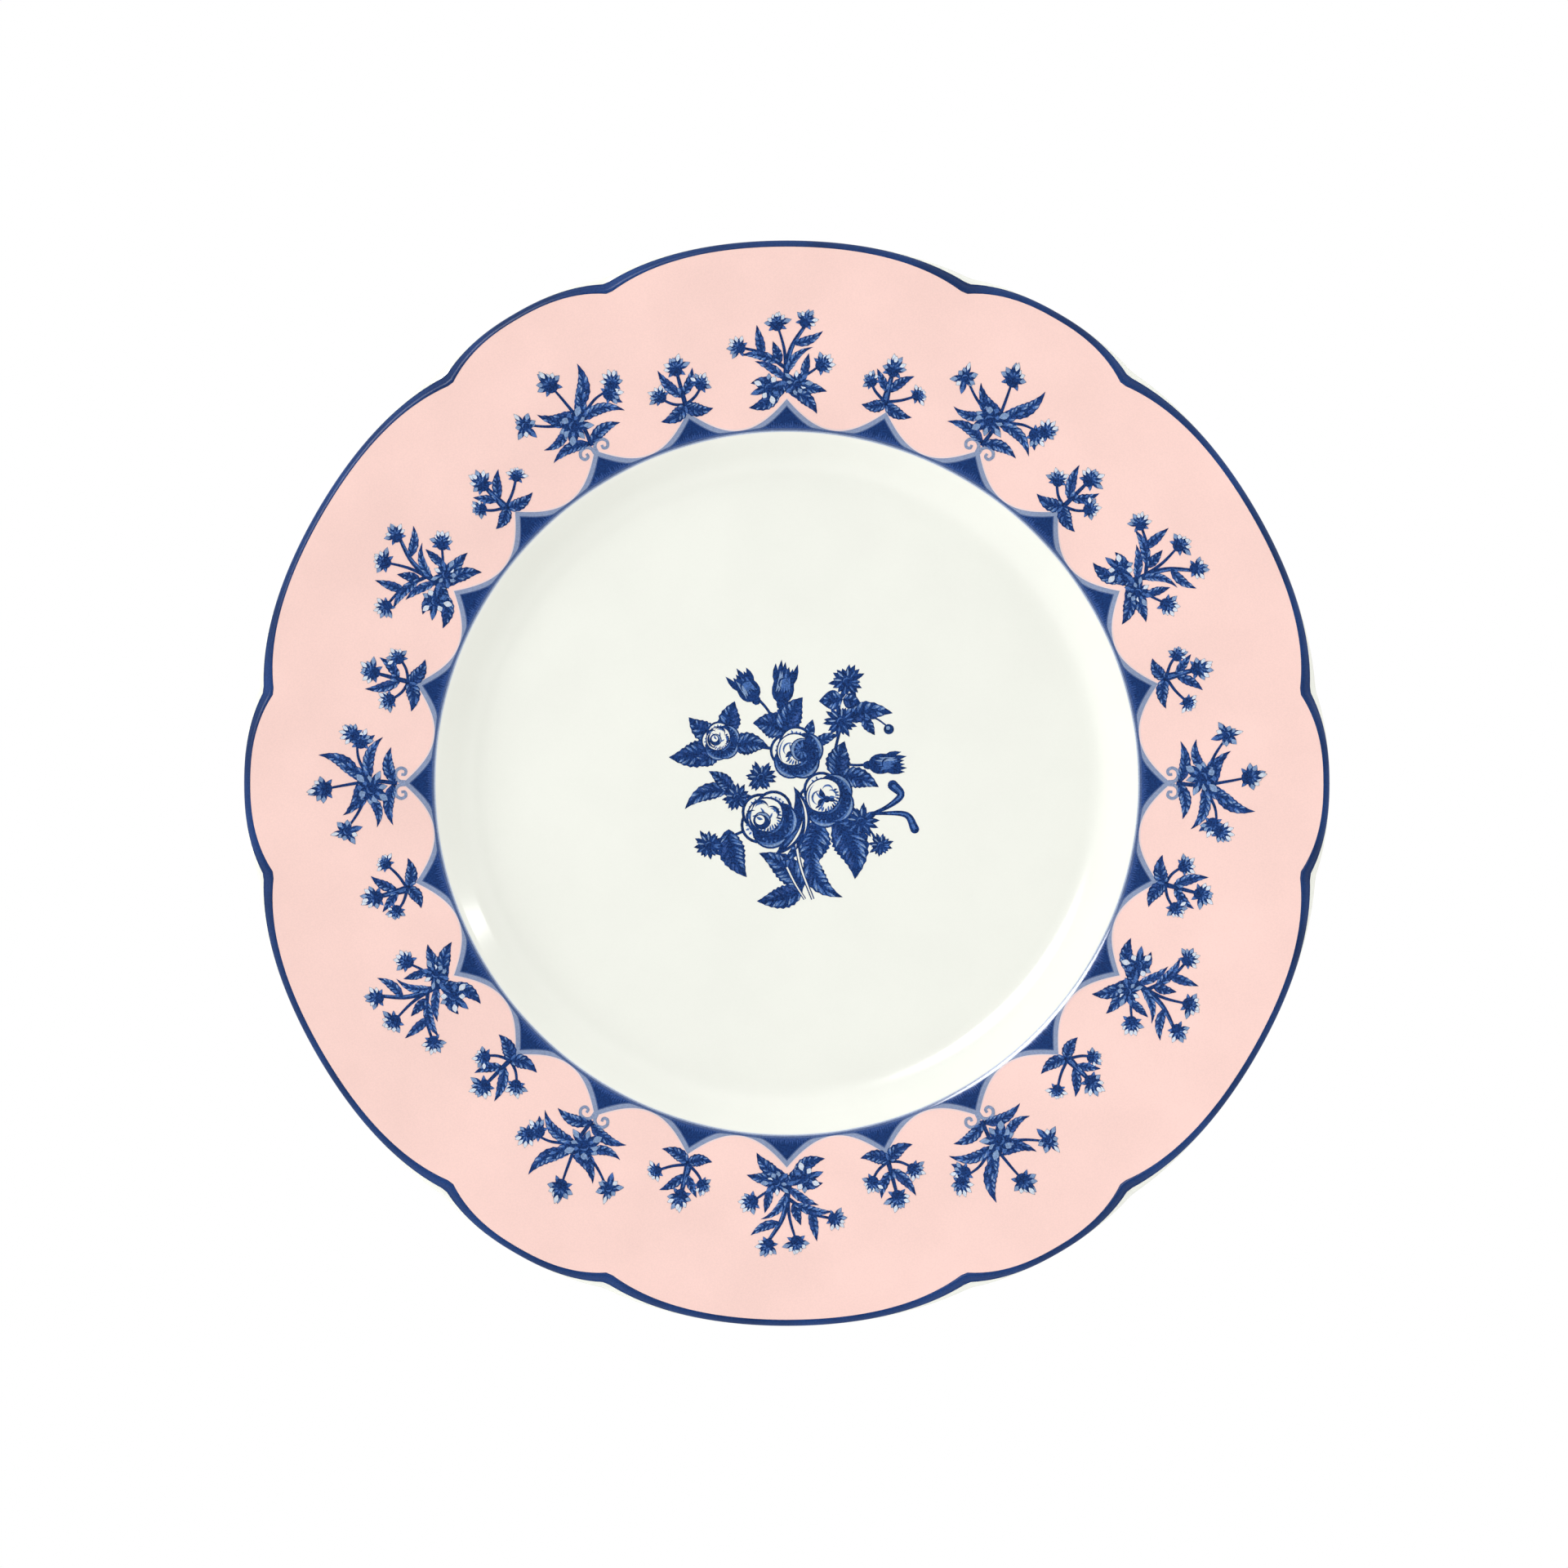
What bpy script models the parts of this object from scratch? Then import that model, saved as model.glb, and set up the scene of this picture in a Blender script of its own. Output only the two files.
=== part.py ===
"""China dinner plate with a scalloped lip, a coloured rim and printed sprays.

The plate stands on its foot ring on the plane z = 0, with its axis on +Z.
The porcelain is one fired piece: a turned profile whose lip is notched into
six wide and six narrow lobes. Everything laid on it, and fired on, is a thin
skin of its own: the rim's colour ground, the painted lip line, the arcade
border round the well, the sprays on the rim and the bouquet in the well.
"""

import math

import bmesh
import bpy
from mathutils import Vector
from mathutils.geometry import delaunay_2d_cdt

MM = 0.001

# Turned profile of the porcelain.
PLATE_RADIUS = 0.135
FLOOR_HEIGHT = 0.0075  # top of the well floor over the table
FLOOR_THICKNESS = 0.0040
WALL_RISE = 0.0075  # from the well floor to the outside of the shoulder
WALL_SLOPE = math.radians(42)
RIM_SLOPE = math.radians(8)
COVE_RADIUS = 0.012
SHOULDER_CURVE = 0.005
SHOULDER_RADIUS = 0.089  # plate radius where the shoulder has become the flat rim
RIM_THICKNESS = 0.0028
FOOT_RADIUS = 0.077
FOOT_WIDTH = 0.0024  # flat standing face
FOOT_FLARE = 0.0010
FOOT_CORNER = 0.0005

# Notches of the lip.
WIDE_LOBE = math.radians(40)
LOBE_PAIR = math.radians(60)
NOTCH_DEPTH = 0.0035
UNDER_NOTCH_SHARE = 0.4  # the lip's lower edge is notched less deeply
WIDE_LOBE_POWER = 3.7
NARROW_LOBE_POWER = 2.6
SCALLOP_START = 0.121

# Arcade border round the well.
SPANDRELS = 24
ARCADE_INNER = 0.0875
ARCADE_MIDDLE = 0.0880  # follows the shoulder's curve under the border
ARCADE_LINE = 0.0886
SPANDREL_TIP = 0.0957
SPANDREL_POWER = 2.06

# Skins laid on the porcelain.
LIP_LINE_WIDTH = 0.0016
GAP = 0.0001  # between a skin and what it lies on
SKIN = 0.0002
SEAM = 0.0003  # between two skins side by side
STEM_WIDTH = 0.7

BODY_STEPS = 72
SKIN_STEPS = 144

# Colours as red, green, blue in linear light.
PORCELAIN = (0.90, 0.90, 0.84)
GROUND_PINK = (0.95, 0.67, 0.59)
LINE_NAVY = (0.015, 0.045, 0.15)
ARCADE_BLUE = (0.05, 0.11, 0.32)
PRINT_BLUE = (0.045, 0.11, 0.33)

# Flat drawings in millimetres: x to the right, y outwards from the plate's axis
# (for the bouquet, y towards the top spray). A stem is a list of points, a leaf
# is base, tip and width, and a blossom is centre and radius.
SCROLL_SPRAY = {
    "stems": [
        [(0.0, 96.9), (0.4, 103.0), (-0.6, 111.6), (-1.4, 115.5)],
        [(-1.5, 104.0), (-7.6, 107.0), (-11.5, 109.6)],
        [(1.0, 104.0), (6.1, 106.4), (11.0, 107.0)],
    ],
    "leaves": [
        ((-0.5, 106.4), (7.1, 116.1), 2.4),
        ((0.4, 107.5), (-7.6, 111.4), 2.2),
        ((-3.0, 104.4), (-10.9, 102.2), 2.2),
        ((1.6, 103.5), (6.6, 110.8), 2.2),
        ((0.6, 103.6), (11.2, 100.4), 2.6),
        ((0.2, 97.6), (-10.1, 98.0), 2.4),
        ((-0.2, 97.6), (8.4, 98.4), 2.4),
    ],
    "blossoms": [(-1.5, 116.6, 2.6), (-11.9, 109.8, 2.7), (11.6, 107.0, 2.7), (-1.4, 103.6, 3.2)],
}
TALL_SPRAY = {
    "stems": [
        [(-0.4, 97.6), (-0.4, 107.0), (-2.4, 114.6)],
        [(-0.4, 99.9), (1.0, 108.0), (5.0, 115.0)],
        [(-0.4, 100.0), (4.4, 101.6), (9.2, 104.5)],
        [(-0.6, 103.6), (-9.1, 108.4), (-12.2, 108.5)],
    ],
    "leaves": [
        ((1.2, 109.4), (8.4, 112.3), 2.0),
        ((0.0, 101.4), (6.3, 108.6), 1.9),
        ((-6.2, 106.4), (-8.1, 113.6), 2.0),
        ((-2.2, 104.2), (-11.2, 106.6), 2.0),
        ((-0.6, 100.6), (-7.9, 105.0), 2.0),
        ((-3.6, 99.0), (-9.4, 94.4), 2.6),
        ((1.6, 98.2), (9.6, 97.5), 2.2),
        ((2.4, 98.8), (6.8, 92.2), 2.2),
    ],
    "blossoms": [
        (-2.5, 115.1, 2.3),
        (5.1, 115.4, 2.0),
        (9.4, 104.7, 2.1),
        (-12.6, 108.5, 1.9),
        (-3.9, 99.2, 2.8),
        (2.2, 99.4, 2.6),
    ],
}
LEFT_SPRIG = {
    "stems": [
        [(-0.6, 97.2), (-1.0, 107.0)],
        [(-0.8, 97.8), (-6.0, 102.6)],
        [(-0.8, 97.8), (6.8, 102.2)],
    ],
    "leaves": [
        ((-0.9, 101.0), (-4.3, 104.8), 1.7),
        ((-0.9, 101.0), (4.6, 105.6), 2.0),
        ((-0.2, 97.8), (-6.2, 96.6), 2.2),
        ((-1.0, 97.8), (6.1, 96.6), 2.2),
    ],
    "blossoms": [(-1.0, 107.0, 2.2), (-6.1, 102.7, 1.7), (6.8, 102.2, 1.7)],
}
RIGHT_SPRIG = {
    "stems": [
        [(-0.1, 97.0), (0.0, 107.5)],
        [(-0.1, 97.4), (-6.0, 101.2)],
        [(-0.1, 97.6), (5.6, 101.7)],
    ],
    "leaves": [
        ((0.0, 99.6), (-4.3, 107.0), 2.0),
        ((0.0, 100.0), (3.8, 105.6), 2.0),
        ((0.4, 97.6), (-7.0, 95.2), 2.2),
        ((-0.6, 97.6), (6.4, 95.2), 2.2),
    ],
    "blossoms": [(0.0, 107.5, 2.3), (-6.1, 101.2, 1.9), (5.6, 101.7, 1.9)],
}
BOUQUET = {
    "stems": [
        [(2.0, -10.0), (6.3, -29.1)],
        [(-9.5, 24.0), (-3.8, 17.4), (-1.0, 8.0)],
        [(-1.15, 24.5), (-1.4, 16.0), (1.5, 8.0)],
        [(14.9, 25.3), (13.2, 19.5), (13.6, 15.0), (12.0, 8.0)],
        [(-16.5, 10.4), (-6.0, 9.0), (3.0, 7.5)],
        [(-19.3, -15.7), (-12.0, -12.6), (-4.0, -9.0)],
        [(-23.0, -5.0), (-13.1, -2.6), (-4.5, -5.0)],
        [(29.5, 5.2), (17.5, 4.4), (8.0, 4.0)],
        [(9.0, -4.0), (18.5, -9.4), (23.7, -15.7)],
        [(18.5, -9.4), (24.6, -7.8), (29.6, -7.6), (32.0, -12.2)],
        [(22.0, -8.0), (26.8, -1.0)],
        [(13.6, 15.2), (21.0, 16.6), (25.2, 13.9)],
        [(-5.0, -6.0), (-6.4, 1.6), (0.0, 6.0)],
        [(2.7, 7.3), (9.9, -4.2)],
    ],
    "leaves": [
        ((13.8, 16.0), (26.4, 17.6), 3.6),
        ((-0.2, 13.0), (-8.2, 14.9), 4.4),
        ((-1.4, 12.6), (4.2, 21.0), 4.8),
        ((-14.6, 12.0), (-12.9, 20.6), 4.0),
        ((-17.6, 11.6), (-24.4, 16.4), 3.8),
        ((-17.6, 9.6), (-29.4, 6.3), 4.6),
        ((12.4, 1.6), (14.2, 10.4), 4.4),
        ((13.0, 1.6), (22.8, -1.2), 4.0),
        ((-11.0, -3.0), (-24.8, -6.0), 5.0),
        ((-8.6, -11.0), (-13.4, -23.2), 5.6),
        ((4.4, -20.4), (-7.4, -17.6), 4.4),
        ((4.4, -21.4), (-7.4, -29.2), 4.4),
        ((1.0, -10.0), (8.4, -20.4), 6.0),
        ((8.0, -9.0), (16.8, -23.8), 6.0),
        ((5.0, -18.0), (13.9, -27.4), 3.6),
    ],
    "blossoms": [
        (-9.8, 24.3, 3.2),
        (-1.15, 25.0, 3.4),
        (14.9, 25.3, 4.2),
        (13.7, 15.4, 4.0),
        (-16.5, 10.4, 4.8),
        (2.7, 7.3, 6.7),
        (9.9, -4.2, 7.0),
        (-4.5, -9.0, 7.2),
        (-6.4, 1.6, 3.6),
        (18.5, -9.4, 3.8),
        (-19.3, -15.7, 3.8),
        (25.4, 4.9, 2.6),
    ],
}

# Place of each spray's first copy, as the plate angle of its axis, in degrees.
SPRAY_ANGLES = {
    "scroll_spray_transfer": (SCROLL_SPRAY, 120),
    "tall_spray_transfer": (TALL_SPRAY, 90),
    "left_sprig_transfer": (LEFT_SPRIG, 75),
    "right_sprig_transfer": (RIGHT_SPRIG, 105),
}
COPIES = 6


def clear_scene():
    for obj in list(bpy.data.objects):
        bpy.data.objects.remove(obj, do_unlink=True)


def make_material(name, colour, roughness):
    material = bpy.data.materials.new(name)
    material.use_nodes = True
    shader = material.node_tree.nodes["Principled BSDF"]
    shader.inputs["Base Color"].default_value = (*colour, 1.0)
    shader.inputs["Roughness"].default_value = roughness
    shader.inputs["Metallic"].default_value = 0.0
    return material


def add_object(name, mesh, material, collection):
    obj = bpy.data.objects.new(name, mesh)
    if not mesh.materials:
        mesh.materials.append(material)
    collection.objects.link(obj)
    return obj


# The turned profile: a level floor, a cove, a sloping wall, a shoulder and a rim.


def cove_point(slope, below=0.0):
    """Point of the cove where its surface slopes this much, or that far below it."""
    reach = COVE_RADIUS + below
    return (
        cove_start() + reach * math.sin(slope),
        FLOOR_HEIGHT + COVE_RADIUS - reach * math.cos(slope),
    )


def shoulder_point(slope, below=0.0):
    """Point of the shoulder where its surface slopes this much, or that far below it."""
    centre_radius = SHOULDER_RADIUS + SHOULDER_CURVE * math.sin(RIM_SLOPE)
    centre_height = FLOOR_HEIGHT + WALL_RISE - SHOULDER_CURVE * math.cos(RIM_SLOPE)
    reach = SHOULDER_CURVE - below
    return (
        centre_radius - reach * math.sin(slope),
        centre_height + reach * math.cos(slope),
    )


def cove_start():
    """Plate radius where the level floor ends."""
    cove_rise = COVE_RADIUS * (1 - math.cos(WALL_SLOPE))
    shoulder_rise = SHOULDER_CURVE * (math.cos(RIM_SLOPE) - math.cos(WALL_SLOPE))
    straight_rise = WALL_RISE - cove_rise - shoulder_rise
    return (
        shoulder_point(WALL_SLOPE)[0]
        - straight_rise / math.tan(WALL_SLOPE)
        - COVE_RADIUS * math.sin(WALL_SLOPE)
    )


def rim_height(radius):
    return FLOOR_HEIGHT + WALL_RISE + (radius - SHOULDER_RADIUS) * math.tan(RIM_SLOPE)


def top_height(radius):
    """Height of the top surface over the floor, the shoulder and the rim."""
    if radius <= cove_start():
        return FLOOR_HEIGHT
    if radius >= SHOULDER_RADIUS:
        return rim_height(radius)
    centre_radius, centre_height = shoulder_point(0.0, SHOULDER_CURVE)
    return centre_height + math.sqrt(SHOULDER_CURVE**2 - (centre_radius - radius) ** 2)


def lip_profile():
    """The rounded lip, from the top surface round to the underside."""
    edge = rim_height(PLATE_RADIUS)
    return [
        (PLATE_RADIUS - 0.0012, rim_height(PLATE_RADIUS - 0.0012)),
        (PLATE_RADIUS - 0.0004, edge - 0.0003),
        (PLATE_RADIUS, edge - 0.0011),
        (PLATE_RADIUS - 0.0003, edge - 0.0021),
        (PLATE_RADIUS - 0.0015, edge - RIM_THICKNESS),
    ]


def foot_profile():
    """The foot ring, from its outer root down round its standing face to its inner root."""
    inner = FOOT_RADIUS - FOOT_WIDTH / 2
    outer = FOOT_RADIUS + FOOT_WIDTH / 2
    root = FLOOR_HEIGHT - FLOOR_THICKNESS
    return [
        (outer + FOOT_CORNER + FOOT_FLARE, root),
        (outer + FOOT_CORNER, FOOT_CORNER),
        (outer, 0.0),
        (inner, 0.0),
        (inner - FOOT_CORNER, FOOT_CORNER),
        (inner - FOOT_CORNER - FOOT_FLARE, root),
    ]


def plate_profile():
    """Half section of the porcelain, from the middle of the well round to its underside."""
    slopes = [WALL_SLOPE * share for share in (0.0, 0.35, 0.7, 1.0)]
    middle_slope = (WALL_SLOPE + RIM_SLOPE) / 2
    shoulder_slopes = [WALL_SLOPE, middle_slope, RIM_SLOPE]
    under_scallop = rim_height(SCALLOP_START) - RIM_THICKNESS
    top = [(0.0, FLOOR_HEIGHT)]
    top += [cove_point(slope) for slope in slopes]
    top += [shoulder_point(slope) for slope in shoulder_slopes]
    top += [(SCALLOP_START, rim_height(SCALLOP_START))]
    under = [(SCALLOP_START, under_scallop)]
    under += [shoulder_point(RIM_SLOPE, FLOOR_THICKNESS), shoulder_point(WALL_SLOPE, FLOOR_THICKNESS)]
    under += [cove_point(WALL_SLOPE * share, FLOOR_THICKNESS) for share in (1.0, 0.6)]
    return top + lip_profile() + under + foot_profile() + [(0.0, FLOOR_HEIGHT - FLOOR_THICKNESS)]


# The lip's notches.


def notch_drop(angle):
    """How far the lip stands inside the plate's full radius at this plate angle."""
    half_wide = WIDE_LOBE / 2
    half_narrow = LOBE_PAIR / 2 - half_wide
    from_wide = abs(math.remainder(angle - math.pi / 2, LOBE_PAIR))
    if from_wide <= half_wide:
        return NOTCH_DEPTH * (from_wide / half_wide) ** WIDE_LOBE_POWER
    from_narrow = LOBE_PAIR / 2 - from_wide
    return NOTCH_DEPTH * (from_narrow / half_narrow) ** NARROW_LOBE_POWER


def scalloped(radius, height, angle):
    """A turned point moved in for the notches, along the rim's slope."""
    if radius <= SCALLOP_START:
        return radius, height
    outwards = (radius - SCALLOP_START) / (PLATE_RADIUS - SCALLOP_START)
    depth = max(0.0, rim_height(radius) - height)
    under = min(1.0, depth / RIM_THICKNESS)
    share = 1.0 - (1.0 - UNDER_NOTCH_SHARE) * under
    inwards = notch_drop(angle) * outwards * share
    return radius - inwards, height - inwards * math.tan(RIM_SLOPE)


def scallop_mesh(mesh):
    for vertex in mesh.vertices:
        x, y, z = vertex.co
        radius = math.hypot(x, y)
        angle = math.atan2(y, x)
        new_radius, new_height = scalloped(radius, z, angle)
        vertex.co = (new_radius * math.cos(angle), new_radius * math.sin(angle), new_height)


def make_body(collection):
    profile = plate_profile()
    outline = bpy.data.meshes.new("plate_profile")
    edges = [(i, i + 1) for i in range(len(profile) - 1)]
    outline.from_pydata([(radius, 0.0, height) for radius, height in profile], edges, [])
    turned = bpy.data.objects.new("plate_blank", outline)
    collection.objects.link(turned)
    screw = turned.modifiers.new("turn", "SCREW")
    screw.axis = "Z"
    screw.steps = BODY_STEPS
    screw.render_steps = BODY_STEPS
    screw.use_merge_vertices = True
    screw.merge_threshold = 0.00001
    graph = bpy.context.evaluated_depsgraph_get()
    mesh = bpy.data.meshes.new_from_object(turned.evaluated_get(graph))
    bpy.data.objects.remove(turned, do_unlink=True)
    scallop_mesh(mesh)
    mesh.shade_smooth()
    mesh.set_sharp_from_angle(angle=math.radians(50))
    add_object("plate_body", mesh, make_material("porcelain", PORCELAIN, 0.08), collection)


# Skins: an open surface just over the porcelain, thickened upwards.


def thicken(obj):
    solidify = obj.modifiers.new("skin", "SOLIDIFY")
    solidify.thickness = SKIN
    solidify.offset = 1.0


def ring_mesh(name, rows, steps):
    """A closed band through rows, each a function from the plate angle to (radius, height)."""
    mesh = bpy.data.meshes.new(name)
    work = bmesh.new()
    rings = []
    for row in rows:
        ring = []
        for step in range(steps):
            angle = math.tau * step / steps
            radius, height = row(angle)
            ring.append(work.verts.new((radius * math.cos(angle), radius * math.sin(angle), height)))
        rings.append(ring)
    for inner, outer in zip(rings, rings[1:]):
        for step in range(steps):
            after = (step + 1) % steps
            work.faces.new((inner[step], outer[step], outer[after], inner[after]))
    work.to_mesh(mesh)
    work.free()
    return mesh


def turned_row(radius, height):
    """The row that a turned point draws once the lip is notched."""
    return lambda angle: scalloped(radius, height, angle)


def arcade_edge(angle):
    """Outer edge of the arcade border: a spandrel's tip, falling in hollow curves to the line."""
    pitch = math.tau / SPANDRELS
    from_tip = abs(math.remainder(angle, pitch)) / (pitch / 2)
    return ARCADE_LINE + (SPANDREL_TIP - ARCADE_LINE) * (1 - from_tip) ** SPANDREL_POWER


def arcade_row(clearance):
    def row(angle):
        radius = arcade_edge(angle) + clearance
        return radius, top_height(radius) + GAP

    return row


def make_lip_line(collection):
    inner = PLATE_RADIUS - LIP_LINE_WIDTH
    lip = lip_profile()
    rows = [turned_row(inner, rim_height(inner) + GAP)]
    rows += [turned_row(radius, height + GAP) for radius, height in lip[:2]]
    mesh = ring_mesh("lip_line_band", rows, SKIN_STEPS)
    thicken(add_object("lip_line_band", mesh, make_material("lip_line", LINE_NAVY, 0.12), collection))


def make_rim_ground(collection):
    outer = PLATE_RADIUS - LIP_LINE_WIDTH - SEAM
    rows = [arcade_row(SEAM), turned_row(outer, rim_height(outer) + GAP)]
    mesh = ring_mesh("rim_colour_ground", rows, SKIN_STEPS)
    material = make_material("rim_ground", GROUND_PINK, 0.12)
    thicken(add_object("rim_colour_ground", mesh, material, collection))


def make_arcade(collection):
    rows = [
        turned_row(ARCADE_INNER, top_height(ARCADE_INNER) + GAP),
        turned_row(ARCADE_MIDDLE, top_height(ARCADE_MIDDLE) + GAP),
        arcade_row(0.0),
    ]
    mesh = ring_mesh("arcade_border_transfer", rows, SKIN_STEPS)
    material = make_material("arcade_blue", ARCADE_BLUE, 0.12)
    thicken(add_object("arcade_border_transfer", mesh, material, collection))


# Sprays: flat outlines joined into one and laid on the porcelain.


def leaf_outline(base, tip, width):
    base, tip = Vector(base), Vector(tip)
    along = tip - base
    side = Vector((-along.y, along.x)).normalized() * width / 2
    belly = base + along * 0.45
    return [base, belly - side, tip, belly + side]


def blossom_outline(x, y, radius, corners=7):
    turns = [math.tau * i / corners + math.pi / 2 for i in range(corners)]
    return [Vector((x + radius * math.cos(turn), y + radius * math.sin(turn))) for turn in turns]


def stem_outlines(points):
    """One strip for each length of the stem, each run on a little so that they overlap."""
    points = [Vector(point) for point in points]
    strips = []
    for start, end in zip(points, points[1:]):
        along = (end - start).normalized()
        side = Vector((-along.y, along.x)) * STEM_WIDTH / 2
        run_on = along * STEM_WIDTH / 3
        strips.append([start - run_on - side, end + run_on - side, end + run_on + side, start - run_on + side])
    return strips


def drawing_outlines(drawing):
    outlines = [strip for points in drawing["stems"] for strip in stem_outlines(points)]
    outlines += [leaf_outline(*leaf) for leaf in drawing["leaves"]]
    outlines += [blossom_outline(*blossom) for blossom in drawing["blossoms"]]
    return outlines


def drawing_mesh(name, drawing, lift):
    """The drawing's outlines joined into one flat shape, in metres, lifted onto the plate."""
    points, faces = [], []
    for outline in drawing_outlines(drawing):
        faces.append(list(range(len(points), len(points) + len(outline))))
        points += outline
    inside = 1
    points, _, triangles, _, _, sources = delaunay_2d_cdt(points, [], faces, inside, 1e-5)
    mesh = bpy.data.meshes.new(name)
    work = bmesh.new()
    corners = [work.verts.new((point.x * MM, point.y * MM, 0.0)) for point in points]
    for triangle, source in zip(triangles, sources):
        if source:
            work.faces.new([corners[i] for i in triangle])
    loose = [vertex for vertex in work.verts if not vertex.link_faces]
    bmesh.ops.delete(work, geom=loose, context="VERTS")
    bmesh.ops.dissolve_limit(work, angle_limit=0.001, verts=work.verts, edges=work.edges)
    bmesh.ops.triangulate(work, faces=work.faces)
    for vertex in work.verts:
        vertex.co.z = top_height(vertex.co.xy.length) + lift
    work.to_mesh(mesh)
    work.free()
    return mesh


def make_bouquet(collection):
    mesh = drawing_mesh("centre_bouquet_transfer", BOUQUET, GAP)
    material = make_material("bouquet_blue", PRINT_BLUE, 0.12)
    thicken(add_object("centre_bouquet_transfer", mesh, material, collection))


def make_rim_sprays(collection):
    on_ground = GAP + SKIN + GAP
    for name, (drawing, first_angle) in SPRAY_ANGLES.items():
        mesh = drawing_mesh(name, drawing, on_ground)
        material = make_material(name, PRINT_BLUE, 0.12)
        for copy in range(COPIES):
            obj = add_object(f"{name}_{copy + 1}", mesh, material, collection)
            turn = first_angle - 90 - copy * 360 / COPIES
            obj.rotation_euler = (0.0, 0.0, math.radians(turn))
            thicken(obj)


def main():
    clear_scene()
    collection = bpy.data.collections.new("china_dinner_plate")
    bpy.context.scene.collection.children.link(collection)
    make_body(collection)
    make_rim_ground(collection)
    make_lip_line(collection)
    make_arcade(collection)
    make_bouquet(collection)
    make_rim_sprays(collection)


main()
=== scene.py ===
"""The look of the china dinner plate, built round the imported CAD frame.

The porcelain is turned again with a finer profile. The pink ground, the lip
line and the arcade border are rings over it. The bouquet and the sprays are
drawings of flat outlines in millimetres, each with an ink, laid one over
another and joined into one thin skin over the porcelain.
"""

import cmath
import math
import random

import bpy
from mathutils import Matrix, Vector
from mathutils.geometry import delaunay_2d_cdt


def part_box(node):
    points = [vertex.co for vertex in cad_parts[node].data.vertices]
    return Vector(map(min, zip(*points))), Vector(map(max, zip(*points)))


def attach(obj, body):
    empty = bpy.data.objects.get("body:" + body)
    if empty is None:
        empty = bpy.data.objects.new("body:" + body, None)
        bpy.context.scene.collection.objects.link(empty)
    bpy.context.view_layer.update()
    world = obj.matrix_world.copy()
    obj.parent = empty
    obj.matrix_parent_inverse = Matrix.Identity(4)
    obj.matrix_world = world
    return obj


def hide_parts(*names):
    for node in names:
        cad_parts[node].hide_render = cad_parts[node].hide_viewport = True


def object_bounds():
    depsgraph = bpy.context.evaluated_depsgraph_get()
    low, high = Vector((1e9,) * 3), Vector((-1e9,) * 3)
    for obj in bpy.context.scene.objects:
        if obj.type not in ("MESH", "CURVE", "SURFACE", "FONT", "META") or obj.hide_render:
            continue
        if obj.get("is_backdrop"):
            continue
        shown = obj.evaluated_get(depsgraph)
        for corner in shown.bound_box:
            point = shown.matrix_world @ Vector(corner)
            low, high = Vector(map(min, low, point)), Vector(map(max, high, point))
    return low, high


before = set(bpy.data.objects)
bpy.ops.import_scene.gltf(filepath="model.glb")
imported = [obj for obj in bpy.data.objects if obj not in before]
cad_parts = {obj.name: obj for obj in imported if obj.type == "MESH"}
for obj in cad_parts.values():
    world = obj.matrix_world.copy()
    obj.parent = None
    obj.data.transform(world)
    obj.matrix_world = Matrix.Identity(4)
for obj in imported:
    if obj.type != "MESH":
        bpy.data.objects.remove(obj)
cad_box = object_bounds()

MM = 0.001

# The turned profile, the same as the CAD's.
PLATE_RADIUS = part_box("plate_body")[1][0]
FLOOR_HEIGHT = 0.0075
FLOOR_THICKNESS = 0.0040
WALL_RISE = 0.0075
WALL_SLOPE = math.radians(42)
RIM_SLOPE = math.radians(8)
COVE_RADIUS = 0.012
SHOULDER_CURVE = 0.005
SHOULDER_RADIUS = 0.089
RIM_THICKNESS = 0.0028
FOOT_RADIUS = 0.077
FOOT_WIDTH = 0.0024
FOOT_FLARE = 0.0010
FOOT_CORNER = 0.0005
FOOT_FILLET = 0.0008
FLOOR_UNDERSIDE = FLOOR_HEIGHT - FLOOR_THICKNESS

# Plate radii where the profile's rows start and end.
FLOOR_ROWS = (0.006, 0.070)
RIM_START = 0.093
UNDER_RIM_START = 0.092
FOOT_INSIDE = 0.072

# The lip and its notches.
SKIN_ROOM = 0.0001  # keeps the painted line on the lip inside the plate's full size
LIP_CURVE = RIM_THICKNESS / 2
LIP_START = PLATE_RADIUS - SKIN_ROOM - LIP_CURVE * (1 + math.sin(RIM_SLOPE))
WIDE_LOBE = math.radians(40)
LOBE_PAIR = math.radians(60)
NOTCH_DEPTH = 0.0035
UNDER_NOTCH_SHARE = 0.4
NOTCH_LEDGE_TOP = 0.0008  # depth below the rim where the deep part of the notch ends
NOTCH_LEDGE_END = 0.0018
WIDE_LOBE_POWER = 3.7
NARROW_LOBE_POWER = 2.6
SCALLOP_START = 0.121

# The painted line and the arcade border.
LINE_WIDTH = 0.0017
LINE_NOTCH_SHARE = 1.13  # the line grows a little wider in the notches
SPANDRELS = 24
ARCADE_INNER = 0.0875
THIN_LINE_INNER = 0.0877
THIN_LINE_OUTER = 0.0880
ARCADE_LINE = 0.0886
SPANDREL_TIP = 0.0957
SPANDREL_POWER = 2.06
TRIANGLE_BASE = 0.0885
TRIANGLE_TIP = 0.0937
TRIANGLE_HALF = 0.57  # of half a spandrel's pitch
TRIANGLE_POWER = 1.5
HATCH_TOP = 0.0906
HALO_WIDTH = 0.0004
GROUND_OVERLAP = 0.2 * MM  # how far the ground runs under the painted line

# Heights over the porcelain of each skin's underside and top.
LINE_TOP = 0.07 * MM
GROUND_LAYER = (0.02 * MM, 0.04 * MM)
BORDER_LAYER = (0.05 * MM, 0.07 * MM)
SPRAY_LAYER = (0.08 * MM, 0.10 * MM)

BODY_STEPS = 480
BORDER_STEPS = 80 * SPANDRELS
SAME_POINT = 1e-7  # metres
SAME_CORNER = 1e-4  # millimetres, in a drawing

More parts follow.
